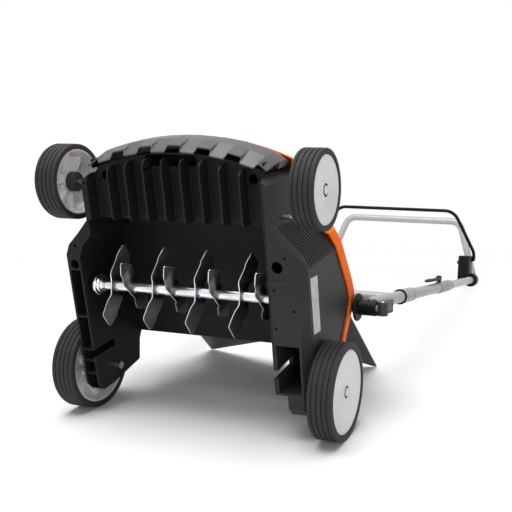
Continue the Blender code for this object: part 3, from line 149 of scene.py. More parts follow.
class Socket:
    """A shader output that adds, subtracts and multiplies through Math nodes."""

    def __init__(self, sheet, output):
        self.sheet = sheet
        self.output = output

    def maths(self, operation, *values):
        return self.sheet.node("Math", {"operation": operation}, *values)

    def __add__(self, other):
        return self.maths("ADD", self, other)

    def __sub__(self, other):
        return self.maths("SUBTRACT", self, other)

    def __rsub__(self, other):
        return self.maths("SUBTRACT", other, self)

    def __mul__(self, other):
        return self.maths("MULTIPLY", self, other)

    __radd__ = __add__
    __rmul__ = __mul__

    def smooth(self, low, high):
        """0 below low, 1 above high, and an even rise between."""
        return self.sheet.node("MapRange", {"interpolation_type": "SMOOTHSTEP"}, self, low, high)


class Sheet:
    """The node tree of a new material or world."""

    def __init__(self, name, kind="materials", shader="Principled BSDF"):
        self.owner = getattr(bpy.data, kind).new(name)
        self.owner.use_nodes = True
        self.tree = self.owner.node_tree
        self.shader = self.tree.nodes[shader]

    def node(self, kind, settings=None, *values, out=0, **named):
        made = self.tree.nodes.new("ShaderNode" + kind)
        for key, value in (settings or {}).items():
            setattr(made, key, value)
        slots = list(zip(made.inputs, values))
        slots += [(made.inputs[key.replace("_", " ")], value) for key, value in named.items()]
        for slot, value in slots:
            self.feed(slot, value)
        return Socket(self, made.outputs[out])

    def feed(self, slot, value):
        if isinstance(value, Socket):
            self.tree.links.new(value.output, slot)
        elif slot.type == "RGBA" and len(value) == 3:
            slot.default_value = (*value, 1.0)
        else:
            slot.default_value = value

    def place(self):
        """Object coordinates."""
        return self.node("TexCoord", out=3)

    def noise(self, place, scale, detail, **named):
        return self.node("TexNoise", None, Vector=place, Scale=scale, Detail=detail, **named)

    def blend(self, factor, first, second):
        made = self.tree.nodes.new("ShaderNodeMix")
        made.data_type = "RGBA"
        self.feed(made.inputs[0], factor)
        self.feed(made.inputs[6], first)
        self.feed(made.inputs[7], second)
        return Socket(self, made.outputs[2])

    def mottled(self, colour, dark, light, factor):
        """A colour that runs between a darker and a lighter shade of itself."""
        return self.blend(factor, shade(colour, dark), shade(colour, light))

    def bump(self, height, strength, distance, **named):
        return self.node("Bump", None, Strength=strength, Distance=distance, Height=height,
                         **named)

    def background_rays(self):
        """1 for the rays that show the background: straight, glossy or through glass."""
        outputs = self.node("LightPath").output.node.outputs
        straight, glossy, through = (
            Socket(self, outputs["Is %s Ray" % ray])
            for ray in ("Camera", "Glossy", "Transmission"))
        return straight + glossy + through

    def set(self, **inputs):
        """Feeds the shader and returns the material or world."""
        for key, value in inputs.items():
            self.feed(self.shader.inputs[key.replace("_", " ")], value)
        return self.owner


def shade(colour, factor):
    return tuple(min(1.0, channel * factor) for channel in colour)


def rounded_edges(sheet, radius):
    """The normal of softened edges, and a mask that is 1 along them."""
    soft = sheet.node("Bevel", {"samples": 6}, Radius=radius)
    flat = sheet.node("NewGeometry", out=1)
    turned = sheet.node("VectorMath", {"operation": "DOT_PRODUCT"}, soft, flat, out=1)
    return soft, (1.0 - turned).smooth(0.015, 0.16)


def moulded(name, colour, roughness, depth=0.25, edge=0.0014, edge_highlight=1.9, gloss=0.5, metal=0.0):
    """Moulded plastic: fine spark texture, rounded edges with a painted highlight along them, a
    little dust.
    """
    sheet = Sheet(name)
    place = sheet.place()
    fine = sheet.noise(place, 900.0, 2.0, Roughness=0.6)
    broad = sheet.noise(place, 9.0, 3.0)
    tone = sheet.mottled(colour, 0.92, 1.08, broad.smooth(0.3, 0.7))
    soft, highlight_edges = rounded_edges(sheet, edge)
    # Painted highlight: along the edges the colour is lightened by the edge factor.
    tone = sheet.blend(highlight_edges, tone, shade(colour, edge_highlight))
    return sheet.set(Base_Color=tone, Roughness=roughness + 0.10 * (fine - 0.5),
                     Normal=sheet.bump(fine, depth, 0.0004, Normal=soft),
                     Specular_IOR_Level=gloss, Metallic=metal)


def painted(name, colour, roughness):
    """Powder coat on a tube, with its fine orange peel."""
    sheet = Sheet(name)
    place = sheet.place()
    peel = sheet.noise(place, 420.0, 1.0)
    broad = sheet.noise(place, 14.0, 2.0)
    tone = sheet.mottled(colour, 0.97, 1.03, broad.smooth(0.35, 0.65))
    return sheet.set(Base_Color=tone, Roughness=roughness + 0.05 * broad,
                     Normal=sheet.bump(peel, 0.05, 0.0003), Metallic=0.1)


def rubber(name, colour, roughness=0.58):
    """Matt rubber with a fine grain and scuffed high spots."""
    sheet = Sheet(name)
    place = sheet.place()
    grain = sheet.noise(place, 700.0, 3.0)
    scuff = sheet.noise(place, 38.0, 4.0)
    tone = sheet.mottled(colour, 1.0, 1.25, scuff.smooth(0.45, 0.75))
    return sheet.set(Base_Color=tone, Roughness=roughness + 0.12 * scuff, Specular_IOR_Level=0.2,
                     Normal=sheet.bump(grain, 0.2, 0.0004))


def steel(name, colour, roughness, lines=260.0, stretch=(1.0, 40.0, 40.0)):
    """Bright or dark steel with drawn lines."""
    sheet = Sheet(name)
    place = sheet.place()
    drawn_out = sheet.node("Mapping", None, Vector=place, Scale=stretch)
    line = sheet.noise(drawn_out, lines, 2.0)
    stain = sheet.noise(place, 30.0, 3.0)
    tone = sheet.mottled(colour, 0.86, 1.08, stain.smooth(0.35, 0.7))
    return sheet.set(Base_Color=tone, Metallic=1.0, Roughness=roughness + 0.12 * line,
                     Normal=sheet.bump(line, 0.08, 0.0003))


def foil(name, colour):
    """The foil of the bare plate, a little uneven."""
    sheet = Sheet(name)
    cloud = sheet.noise(sheet.place(), 60.0, 3.0)
    tone = sheet.mottled(colour, 0.90, 1.06, cloud.smooth(0.35, 0.65))
    return sheet.set(Base_Color=tone, Metallic=0.35, Roughness=0.36 + 0.15 * cloud,
                     Normal=sheet.bump(cloud, 0.05, 0.0002))


FINISHES = {}


def make_finishes():
    """All the finishes, made once."""
    tint = chosen("colours")
    FINISHES.update(
        # In each moulding, the edge factor lightens the edges: a painted highlight.
        housing=moulded("housing_polymer", tint.housing, 0.52, edge=0.0011, edge_highlight=5.5, gloss=0.16),
        # Painted light: the side is the housing's colour lightened 2.4 times, standing in for the
        # light that side catches.
        side=moulded("housing_painted_lit_side", shade(tint.housing, 2.4), 0.52, edge=0.0011, edge_highlight=2.4,
                     gloss=0.18),
        # Painted light: the flap is the bumper's colour lightened 1.5 times, standing in for the
        # light it catches.
        flap=moulded("bumper_painted_lit_flap", shade(tint.bumper, 1.5), 0.50, edge_highlight=1.6, gloss=0.3),
        bumper=moulded("bumper_polymer", tint.bumper, 0.40, edge_highlight=1.6),
        orange=moulded("orange_polymer", tint.orange, 0.52, depth=0.06, edge_highlight=1.08, gloss=0.08),
        black=moulded("black_polymer", (0.006, 0.006, 0.0065), 0.46, depth=0.12, edge=0.0010,
                      edge_highlight=4.0, gloss=0.14),
        lever=moulded("lever_polymer", (0.030, 0.030, 0.031), 0.46, depth=0.15, edge=0.0010,
                      edge_highlight=2.0, gloss=0.3),
        coat=moulded("bail_coat", (0.004, 0.004, 0.004), 0.42, depth=0.03, edge=0.0004, edge_highlight=1.2,
                     gloss=0.12),
        rubber=rubber("tyre_rubber", tint.rubber),
        belt=rubber("belt_rubber", (0.014, 0.014, 0.014), 0.7),
        rim=moulded("rim_polymer", (0.80, 0.80, 0.81), 0.36, depth=0.06, edge=0.0012, edge_highlight=1.2,
                    metal=0.40),
        cap=moulded("cap_polymer", tint.cap, 0.34, depth=0.03, edge=0.0008, edge_highlight=1.1),
        leg=painted("leg_coat", tint.leg, 0.38),
        tube=painted("handle_coat", tint.tube, 0.36),
        sleeve=moulded("sleeve_polymer", (0.29, 0.29, 0.295), 0.40, depth=0.06, edge=0.0008,
                       edge_highlight=1.25),
        plate=foil("bare_plate", (0.50, 0.50, 0.51)),
        zinc=steel("zinc_plate", (0.82, 0.83, 0.86), 0.14),
        blade=steel("blade_steel", (0.12, 0.124, 0.132), 0.30, 120.0, (1.0, 3.0, 3.0)),
        edge=steel("blade_edge", (0.88, 0.89, 0.91), 0.30, 200.0, (1.0, 6.0, 6.0)),
        bronze=steel("bearing_bronze", (0.50, 0.38, 0.20), 0.30),
        motor=steel("motor_can", (0.20, 0.20, 0.21), 0.35),
    )


# ---- Modelling helpers

AXIS_TURN = {"X": (0.0, pi / 2, 0.0), "Y": (-pi / 2, 0.0, 0.0), "Z": (0.0, 0.0, 0.0)}
AXIS_STEP = {"X": Vector((1, 0, 0)), "Y": Vector((0, 1, 0)), "Z": Vector((0, 0, 1))}
MIDDLE = (0, 0, 0)
POINT_RING = 1e-5  # radius of a ring that is welded to one point
WELD = 0.00002


def clear():
    """Leaves edit mode and deselects everything."""
    if bpy.context.mode != "OBJECT":
        bpy.ops.object.mode_set(mode="OBJECT")
    bpy.ops.object.select_all(action="DESELECT")


def pick(piece):
    """Makes one piece the only selected one."""
    clear()
    piece.select_set(True)
    bpy.context.view_layer.objects.active = piece


def edit(piece):
    pick(piece)
    bpy.ops.object.mode_set(mode="EDIT")


def edit_all(piece):
    """Enters edit mode with everything selected."""
    edit(piece)
    bpy.ops.mesh.select_all(action="SELECT")


def select_by(kind):
    """Selects by point or by face in edit mode."""
    bpy.context.tool_settings.mesh_select_mode = (kind == "VERT", False, kind == "FACE")


def apply_place(piece):
    pick(piece)
    bpy.ops.object.transform_apply(location=True, rotation=True, scale=True)


def seat(piece, place):
    """Puts a piece drawn in a local frame into the row frame."""
    clear()
    piece.matrix_world = place @ piece.matrix_world
    apply_place(piece)


def shift(piece, x=0.0, y=0.0, z=0.0):
    """Moves a piece inside the frame it is drawn in."""
    pick(piece)
    bpy.ops.transform.translate(value=(x, y, z))
    apply_place(piece)


def bevel(piece, width, segments, angle):
    """Rounds the edges that turn by more than an angle."""
    pick(piece)
    step = piece.modifiers.new("bevel", "BEVEL")
    step.width = width
    step.segments = segments
    step.limit_method = "ANGLE"
    step.angle_limit = radians(angle)
    bpy.ops.object.modifier_apply(modifier=step.name)


def outward(piece):
    """Welds doubles and turns every face outwards."""
    edit_all(piece)
    bpy.ops.mesh.remove_doubles(threshold=WELD)
    bpy.ops.mesh.normals_make_consistent(inside=False)
    clear()


def smooth(piece, angle=35.0):
    pick(piece)
    bpy.ops.object.shade_smooth_by_angle(angle=radians(angle))


def dress(piece, looks, second=None):
    """Gives a piece one finish, or a second one where a test of place and normal says."""
    piece.data.materials.clear()
    for look in looks.split():
        piece.data.materials.append(FINISHES[look])
    if second:
        for face in piece.data.polygons:
            face.material_index = int(bool(second(face.center, face.normal)))


def finish_piece(piece, place, name, look, body):
    """Seats a piece, names it, gives it its finish and hangs it on its body."""
    if place is not None:
        seat(piece, place)
    piece.name = name
    piece.data.name = name
    if look:
        dress(piece, look)
    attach(piece, body)


def stand_in(piece, place, node, look, body):
    """Finishes a piece that is shown instead of a CAD node."""
    finish_piece(piece, place, node + "_fine", look, body)
    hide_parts(node)


def choose(piece, test, kind="FACE"):
    """Enters edit mode with only the faces or points that pass a test selected."""
    clear()
    select_by(kind)
    mesh = piece.data
    for group in (mesh.vertices, mesh.edges, mesh.polygons):
        group.foreach_set("select", [False] * len(group))
    if kind == "FACE":
        passed = [bool(test(face.center, face.normal)) for face in mesh.polygons]
        mesh.polygons.foreach_set("select", passed)
    else:
        mesh.vertices.foreach_set("select", [bool(test(point.co)) for point in mesh.vertices])
    edit(piece)
    bpy.ops.mesh.select_mode(type=kind)


def joined(name, pieces):
    """Several pieces as one object."""
    pick(pieces[0])
    for piece in pieces[1:]:
        piece.select_set(True)
    bpy.ops.object.join()
    made = bpy.context.object
    made.name = name
    return made


def drawn(name, add, scale=(1.0, 1.0, 1.0), **settings):
    """A new primitive in edit mode, with its place applied and all its points selected."""
    clear()
    select_by("VERT")
    add(**settings)
    piece = bpy.context.object
    piece.name = name
    piece.scale = scale
    apply_place(piece)
    edit_all(piece)
    return piece


def extrude(move):
    bpy.ops.mesh.extrude_region_move(TRANSFORM_OT_translate={"value": move})


def closed_up(piece, angle=35.0):
    """Leaves edit mode with a welded, smooth piece."""
    clear()
    outward(piece)
    smooth(piece, angle)
    return piece


def lathe(name, stations, sides=64, axis="X", closed=False):
    """A turned piece: a ring extruded and scaled from station to station.

    Each station is (radius, place along the axis). An open profile that ends
    on the axis is merged there, and a closed one meets its first ring again.
    """
    radius, along = stations[0]
    step = AXIS_STEP[axis]
    piece = drawn(name, bpy.ops.mesh.primitive_circle_add, vertices=sides,
                  radius=max(radius, POINT_RING), location=step * along, rotation=AXIS_TURN[axis])
    for new_radius, station in stations[1:] + (stations[:1] if closed else []):
        scale = max(new_radius, POINT_RING) / max(radius, POINT_RING)
        extrude(step * (station - along))
        bpy.ops.transform.resize(value=[1.0 if part else scale for part in step],
                                 center_override=step * station)
        radius, along = new_radius, station
    return closed_up(piece)


def twin(piece, name):
    """A copy with a mesh of its own."""
    pick(piece)
    bpy.ops.object.duplicate()
    made = bpy.context.object
    made.name = name
    return made


def mirrored(piece, name):
    """A copy on the other side of the machine."""
    made = twin(piece, name)
    select_by("VERT")
    bpy.ops.transform.resize(value=(-1, 1, 1), center_override=MIDDLE)
    apply_place(made)
    edit_all(made)
    bpy.ops.mesh.normals_make_consistent(inside=False)
    clear()
    return made


SIDES = (("right", twin), ("left", mirrored))


def slab(name, points, low, high, plane, width=0.0, segments=2):
    """A flat outline drawn corner by corner, filled and extruded across its plane."""
    across, up, through = (AXIS_STEP[letter] for letter in plane)
    spots = [across * u + up * v + through * low for u, v in points]
    piece = drawn(name, bpy.ops.mesh.primitive_plane_add, size=0.01, location=spots[0])
    bpy.ops.mesh.merge(type="CENTER")
    for here, there in zip(spots, spots[1:]):
        extrude(there - here)
    bpy.ops.mesh.select_all(action="SELECT")
    bpy.ops.mesh.edge_face_add()
    bpy.ops.mesh.select_all(action="SELECT")
    extrude(through * (high - low))
    clear()
    outward(piece)
    if width:
        bevel(piece, width, segments, 25.0)
    smooth(piece)
    return piece


def pipe(name, corners, radius, bends, sides, steps):
    """A round tube along straight runs, its corners bent with Spin."""
    corners = [Vector(corner) for corner in corners]
    at = corners[0]
    turn = (corners[1] - at).normalized().to_track_quat("Z", "Y").to_euler()
    piece = drawn(name, bpy.ops.mesh.primitive_circle_add, vertices=sides, radius=radius,
                  fill_type="NGON", location=at, rotation=turn)
    for bend, corner, after in zip(bends, corners[1:], corners[2:]):
        back = (at - corner).normalized()
        on = (after - corner).normalized()
        half = back.angle(on) / 2
        reach = bend / tan(half)
        start = corner + back * reach
        extrude(start - at)
        centre = corner + (back + on).normalized() * bend / sin(half)
        axis = (corner + on * reach - centre).cross(start - centre).normalized()
        bpy.ops.mesh.spin(steps=steps, angle=pi - 2 * half, center=centre, axis=axis)
        at = corner + on * reach
    extrude(corners[-1] - at)
    return closed_up(piece, 50.0)


def copy_node(node, width, soft):
    """A CAD node's shape, welded, with its flats rejoined and its edges rounded."""
    source = frame["nodes"][node]
    made = source.copy()
    made.data = source.data.copy()
    for key in list(made.keys()):
        del made[key]
    made.parent = None
    bpy.context.scene.collection.objects.link(made)
    edit_all(made)
    bpy.ops.mesh.remove_doubles(threshold=WELD)
    bpy.ops.mesh.customdata_custom_splitnormals_clear()
    bpy.ops.mesh.dissolve_limited(angle_limit=radians(0.5))
    clear()
    if width:
        bevel(made, width, 2, 30.0)
    smooth(made, soft)
    return made


def from_axis(place):
    """A point's distance from the axis across the machine."""
    return (place.y ** 2 + place.z ** 2) ** 0.5


# ---- Wheels

WHEEL_SIDES = 96
SEAT_SHARE = 0.868  # the seat between a tyre and its rim, as a share of the tyre's radius
SEAT_GAP = 0.0003


def wheel_tyre(radius, width, outer):
    """A tyre with rounded shoulders and narrow grooves between wide lands."""
    inner = outer - width
    bore = SEAT_SHARE * radius
    grooves = chosen("wheels").grooves
    groove, wall, deep = 0.0026, 0.0005, 0.0024
    land = (width - grooves * groove) / (grooves + 1)
    shoulder = [(0.0032, 0.0), (0.0010, 0.0008), (0.0, 0.0030)]
    stations = [(bore, inner)] + [(radius - drop, inner + step) for drop, step in shoulder]
    edge = inner
    for _ in range(grooves):
        edge += land
        stations += [(radius, edge), (radius - deep, edge + wall),
                     (radius - deep, edge + groove - wall), (radius, edge + groove)]
        edge += groove
    stations += [(radius - drop, outer - step) for drop, step in reversed(shoulder)]
    tyre = lathe("tyre", stations + [(bore, outer)], WHEEL_SIDES, closed=True)
    dress(tyre, "rubber")
    return tyre


def wheel_cap(radius, width, outer):
    """The smooth outer cap with its rolled rim and ringed boss."""
    edge = SEAT_SHARE * radius - SEAT_GAP
    boss = [(0.0, 0.0020), (0.0082, 0.0020), (0.0090, 0.0028), (0.0094, 0.0068),
            (0.0124, 0.0070), (0.0127, 0.0034), (0.0165, 0.0034), (0.0177, 0.0054),
            (0.030, 0.0056)]
    roll = [(0.014, 0.0030), (0.006, 0.0014), (0.0026, 0.0014), (0.0008, 0.0022),
            (0.0, 0.0045), (0.0, 0.0060)]
    stations = [(ring, outer - drop) for ring, drop in boss]
    stations += [(edge - gap, outer - drop) for gap, drop in roll]
    cap = lathe("cap", stations + [(0.0, outer - 0.0085)], WHEEL_SIDES)

    # Painted shade: the boss's groove gets the dark lever finish.
    def in_boss_groove(place, normal):
        return (outer - 0.0078 < place.x < outer - 0.0040
                and 0.009 < from_axis(place) < 0.0127)

    dress(cap, "cap lever", in_boss_groove)
    return cap


def wheel_rim(radius, width, outer):
    """The rim seen from inside: a dish with stepped pockets between its spokes, and the hub."""
    inner = outer - width
    edge = SEAT_SHARE * radius - SEAT_GAP
    back = inner + width * 0.70 + 0.003
    front = inner + width * 0.40
    low, margin, bore, depth_left = 0.0245, 0.0075, 0.0066, 0.0092
    stations = [(edge, inner + 0.0010), (edge, outer - 0.0045), (edge - 0.003, outer - 0.0045),
                (edge - 0.003, back), (0.016, back), (0.016, outer - depth_left),
                (bore, outer - depth_left), (bore, inner + 0.003), (0.0190, inner + 0.003),
                (0.0200, inner + 0.004), (0.0205, front), (low, front),
                (edge - margin, front), (edge - 0.0045, inner + 0.006),
                (edge - 0.0035, inner + 0.0010)]
    rim = lathe("rim", stations, WHEEL_SIDES, closed=True)
    pockets = chosen("wheels").pockets
    middle = (low + edge - margin) / 2
    for k in range(pockets):
        turn = 2 * pi * (k + 0.5) / pockets

        def in_pocket(place, normal):
            away = (atan2(place.z, place.y) - turn + pi) % (2 * pi) - pi
            return (normal.x < -0.99 and abs(from_axis(place) - middle) < 0.006
                    and abs(away) < 0.80 * pi / pockets)

        choose(rim, in_pocket)
        bpy.ops.mesh.dissolve_faces()
        centre = Vector((front, middle * cos(turn), middle * sin(turn)))
        for scale, depth in ((0.93, 0.0), (0.97, 0.0058), (0.78, 0.0), (0.95, 0.0046)):
            bpy.ops.mesh.extrude_region_move()
            bpy.ops.transform.resize(value=(1.0, scale, scale), center_override=centre)
            bpy.ops.transform.translate(value=(depth, 0.0, 0.0))
            centre.x += depth
        clear()
    bevel(rim, 0.0007, 1, 30.0)
    smooth(rim, 30.0)
    dress(rim, "rim lever", lambda place, normal: from_axis(place) < 0.0206)
    return rim


class SCARIFIER_OT_wheels(bpy.types.Operator):
    """Model the four wheels: tyres, rims and hub caps"""

    bl_idname = "scarifier.wheels"
    bl_label = "Wheels"

    def execute(self, context):
        sizes = chosen("wheels")
        for axle, radius, width, track in (
                ("rear", sizes.rear_radius, sizes.rear_width, sizes.rear_track),
                ("front", sizes.front_radius, sizes.front_width, sizes.front_track)):
            place = MACHINE @ Matrix.Translation(in_machine(axle + "_wheel_left_spin"))
            for part, make in (("tyre", wheel_tyre), ("cap", wheel_cap), ("rim", wheel_rim)):
                right = make(radius, width, track)
                for side, made in (("right", right), ("left", mirrored(right, "left"))):
                    body = "%s_wheel_%s" % (axle, side)
                    stand_in(made, place, "%s_%s" % (body, part), None, body)
        return {"FINISHED"}


# ---- Rotor

OTHER_HAND = 0.0435  # from a blade to the next one along, which is of the other hand


def blade_arm(name, crank, twist):
    """A double-ended blade along Z, its arms bent to opposite sides and its tips ground."""
    sizes = chosen("rotor")
    reach, half, boss = sizes.blade_radius, sizes.blade_half, 0.012
    bends = [(0.0, 0.0), (0.016, 0.0), (0.022, 0.04), (0.030, 0.22), (0.052, 0.80),
             (0.058, 0.95), (0.064, 1.0)]
    rows = [(z, half + 0.0020 - 0.0028 * min(1.0, z / 0.055), crank * bend) for z, bend in bends]
    rows += [(reach - 0.018, half - 0.0030, crank), (reach - 0.001, 0.0030, crank),
             (reach, 0.0014, crank)]
    rows = [(-z, width, -x) for z, width, x in reversed(rows[1:])] + rows

    def swing(z):
        """How far the arm is turned about its own length at a height."""
        share = min(1.0, max(0.0, (abs(z) - boss) / 0.022))
        return twist * share * share * (3 - 2 * share)

    def ground(place, normal):
        """Whether a face is ground bright, as the arm's edges and its tips are."""
        turn = swing(place.z)
        across = normal.y * cos(turn) - normal.x * sin(turn)
        return abs(across) > 0.60 or abs(place.z) > reach - 0.0005

    z, width, x = rows[0]
    blade = drawn(name, bpy.ops.mesh.primitive_plane_add, (sizes.blade_thick, 2 * width, 1.0),
                  size=1.0, location=(x, 0.0, z))
    for next_z, next_width, next_x in rows[1:]:
        extrude((next_x - x, 0.0, next_z - z))
        bpy.ops.transform.resize(value=(1.0, next_width / width, 1.0),
                                 center_override=(next_x, 0.0, next_z))
        z, width, x = next_z, next_width, next_x
    for height, _, off in rows:
        if swing(height):
            choose(blade, lambda place: abs(place.z - height) < 0.0002, "VERT")
            bpy.ops.transform.rotate(value=-swing(height), orient_axis="Z",
                                     center_override=(off, 0.0, height))
    clear()
    outward(blade)
    bevel(blade, 0.0004, 1, 60.0)
    smooth(blade, 40.0)
    dress(blade, "blade edge", ground)
    return blade


class SCARIFIER_OT_rotor(bpy.types.Operator):
    """Model the bright shaft, its left bearing and the eight blades"""

    bl_idname = "scarifier.rotor"
    bl_label = "Rotor"

    def execute(self, context):
        sizes = chosen("rotor")
        axis = MACHINE @ Matrix.Translation(in_machine("rotor_spin"))
        thick = sizes.shaft_radius
        left = sizes.first_blade - 0.0228
        right = 0.185
        rings = [sizes.first_blade + k * sizes.blade_pitch + offset
                 for k in range(sizes.blade_pairs) for offset in (0.0, OTHER_HAND)]
        stations = [(0.0, left - 0.0275), (0.0080, left - 0.0275), (0.0080, left),
                    (thick - 0.0006, left), (thick, left + 0.0008)]
        for ring in sorted(rings):
            stations += [(thick, ring - 0.0042), (thick + 0.0011, ring - 0.0036),
                         (thick + 0.0011, ring + 0.0036), (thick, ring + 0.0042)]
        stations += [(thick, right - 0.0008), (thick - 0.0006, right), (0.0080, right),
                     (0.0080, 0.2098), (0.0060, 0.2102), (0.0060, 0.2336), (0.0, 0.2340)]
        shaft = lathe("shaft", stations, 48)
        stand_in(shaft, axis, "rotor_shaft", "zinc", "rotor")

        near = -0.2297
        cup = [(0.0083, 0.0), (0.0210, 0.0), (0.0218, 0.0012), (0.0218, 0.0110),
               (0.0224, 0.0122), (0.0230, 0.0128), (0.0230, 0.0158), (0.0222, 0.0168),
               (0.0166, 0.0170), (0.0160, 0.0178), (0.0156, 0.0205), (0.0126, 0.0210),
               (0.0124, 0.0216), (0.0124, 0.0262), (0.0112, 0.0272), (0.0112, 0.0300),
               (0.0083, 0.0303)]
        bearing = lathe("cup", [(ring, near + step) for ring, step in cup], closed=True)
        dress(bearing, "zinc black", lambda place, normal: place.x < near + 0.0115)
        stand_in(bearing, axis, "bearing_left", None, "chassis")

        for hand, offset, turn, crank, twist in (("a", 0.0, 168.0, 0.017, -28.0),
                                                 ("b", OTHER_HAND, 39.0, -0.015, 24.0)):
            pattern = blade_arm("blade_" + hand, crank, radians(twist))
            for k in range(sizes.blade_pairs):
                along = sizes.first_blade + offset + k * sizes.blade_pitch
                place = (axis @ Matrix.Translation((along, 0.0, 0.0))
                         @ Matrix.Rotation(radians(turn - 90.0), 4, "X"))
                stand_in(twin(pattern, "blade"), place, "blade_%s%d" % (hand, k + 1), None,
                         "rotor")
            bpy.data.objects.remove(pattern)
        return {"FINISHED"}


# ---- Handlebar

def both_halves(half):
    """A run of corners on the right, after its mirror image on the left."""
    return [(-x, s, z) for x, s, z in reversed(half)] + half


class SCARIFIER_OT_lower_handle(bpy.types.Operator):
    """Model the lower legs, their crossbar, sleeves and slide clamps"""

    bl_idname = "scarifier.lower_handle"
    bl_label = "Lower Handle"

    def execute(self, context):
        sizes = chosen("handlebar")
        thick, end, spread = sizes.leg_radius, sizes.leg_end, sizes.leg_spread
        lift, bore = sizes.leg_lift, 0.0138
        leg = lathe("leg", [(0.0, 0.004), (thick - 0.003, 0.004), (thick - 0.0008, 0.0055),
                            (thick, 0.008), (thick, end - 0.0006), (thick - 0.0005, end),
                            (bore, end), (bore, 0.212), (0.0, 0.210)], 40, "Y")
        shift(leg, spread, 0.0, lift)
        bar_radius = 0.0125
        bar = lathe("bar", [(0.0, -spread), (bar_radius, -spread), (bar_radius, spread),
                            (0.0, spread)], 40)
        shift(bar, 0.0, sizes.crossbar, lift)
        inner, outer = 0.2795, spread + thick
        knuckle = lathe("knuckle", [(0.0053, inner), (0.0160, inner), (0.0170, inner + 0.001),
                                    (0.0170, outer - 0.0012), (0.0158, outer), (0.0053, outer)],
                        48, closed=True)
        legs = joined("legs", [leg, bar, knuckle, mirrored(leg, "leg"),
                               mirrored(knuckle, "knuckle")])
        smooth(legs)
        dress(legs, "leg black",
              lambda place, normal: abs(place.x) > 0.279 and from_axis(place) < 0.0176)
        stand_in(legs, LEG, "lower_handle", None, "handle_lower")

        wide, hole = sizes.sleeve_radius, thick + 0.0002
        start, stop = 0.240, 0.360
        near_end = [(0.0010, 0.0), (0.0015, 0.0005), (0.0015, 0.0035), (0.0004, 0.0040),
                    (0.0, 0.012), (0.0, 0.030), (0.0006, 0.032), (0.0006, 0.048), (0.0, 0.050)]
        far_end = [(0.0, 0.034), (0.0006, 0.032), (0.0006, 0.016), (0.0, 0.014), (0.0, 0.0015),
                   (-0.0012, 0.0)]
        stations = [(hole, start)] + [(wide + rise, start + step) for rise, step in near_end]
        stations += [(wide + rise, stop - step) for rise, step in far_end] + [(hole, stop)]
        parts = [lathe("sleeve", stations, 48, "Y", closed=True)]
        for s in (start + 0.040, stop - 0.024):
            for turn in (0.0, 55.0):
                rivet = lathe("rivet", [(0.0, 0.0150), (0.0044, 0.0150), (0.0044, 0.0186),
                                        (0.0036, 0.0194), (0.0018, 0.0198), (0.0, 0.0198)], 20)
                edit_all(rivet)
                bpy.ops.transform.rotate(value=radians(turn), orient_axis="Y",
                                         center_override=MIDDLE)
                bpy.ops.transform.translate(value=(0.0, s, 0.0))
                clear()
                parts.append(rivet)
        sleeve = joined("sleeve", parts)
        smooth(sleeve)
        dress(sleeve, "sleeve black", lambda place, normal: place.y < start + 0.0036)

        near, far = 0.680, 0.860
        slim = sizes.tube_radius + 0.0002
        step = end + 0.0003
        collar = [(0.0032, 0.0), (0.0020, 0.0012), (0.0020, 0.010), (0.0012, 0.011),
                  (0.0012, 0.016), (0.0020, 0.017), (0.0020, 0.030), (0.0, 0.034)]
        body = [(0.0, 0.075), (0.0008, 0.077), (0.0008, 0.081), (0.0, 0.083), (0.0, 0.002),
                (0.001, 0.0)]
        stations = [(slim, far)] + [(wide - drop, far - back) for drop, back in collar]
        stations += [(wide - drop, near + on) for drop, on in body]
        clamp = lathe("clamp", stations + [(hole, near), (hole, step), (slim, step)], 48, "Y",
                      closed=True)
        dress(clamp, "sleeve")
        patterns = {"leg_sleeve_": sleeve, "slide_clamp_": clamp}
        for pattern in patterns.values():
            shift(pattern, spread, 0.0, lift)
        for side, copied in SIDES:
            for name, pattern in patterns.items():
                stand_in(copied(pattern, name), LEG, name + side, None, "handle_lower")
        for pattern in patterns.values():
            bpy.data.objects.remove(pattern)
        return {"FINISHED"}


class SCARIFIER_OT_upper_handle(bpy.types.Operator):
    """Model the sliding loop, the bail and the button"""

    bl_idname = "scarifier.upper_handle"
    bl_label = "Upper Handle"

    def execute(self, context):
        sizes = chosen("handlebar")
        lift, spread = sizes.leg_lift, sizes.leg_spread
        inner_end, bend = 0.470, 0.045
        half = [(sizes.bar_half, sizes.bar, lift + sizes.bar_rise),
                (spread, sizes.corner, lift), (spread, inner_end, lift)]
        loop = pipe("loop", both_halves(half), sizes.tube_radius, [bend] * 4, 40, 14)
        stand_in(loop, LEG, "upper_handle", "tube", "handle_upper")

        lean = atan2(0.144, 0.088) + radians(45.5)
        box = spread - 0.003
        side, rise, reach = box + 0.0065, 0.030, 0.1854
        thick, tight, wide = 0.0062, 0.004, 0.055
        half = [(0.231, reach * cos(lean), reach * sin(lean)),
                (side, rise * cos(lean), rise * sin(lean)), (side, 0.0, 0.0),
                (box - 0.008, 0.0, 0.0)]
        bail = pipe("bail", both_halves(half), thick, [tight, *[wide] * 4, tight], 20, 12)
        stand_in(bail, LEG @ Matrix.Translation((0.0, 1.2825, lift + 0.075)), "bail", "coat",
                 "dead_man_bail")

        face = box - 0.040
        button = lathe("button", [(0.0, face - 0.0090), (0.0050, face - 0.0088),
                                  (0.0064, face - 0.0080), (0.0070, face - 0.0065),
                                  (0.0070, face + 0.0077), (0.0, face + 0.0077)], 32)
        stand_in(button, LEG @ Matrix.Translation((0.0, 1.248, lift + 0.064)), "lock_button",
                 "lever", "button")
        return {"FINISHED"}


def cam_arc(radius, first, turn, steps=16):
    """Points along a lever's round end."""
    angles = (first + turn * i / steps for i in range(steps + 1))
    return [(radius * cos(a), radius * sin(a)) for a in angles]


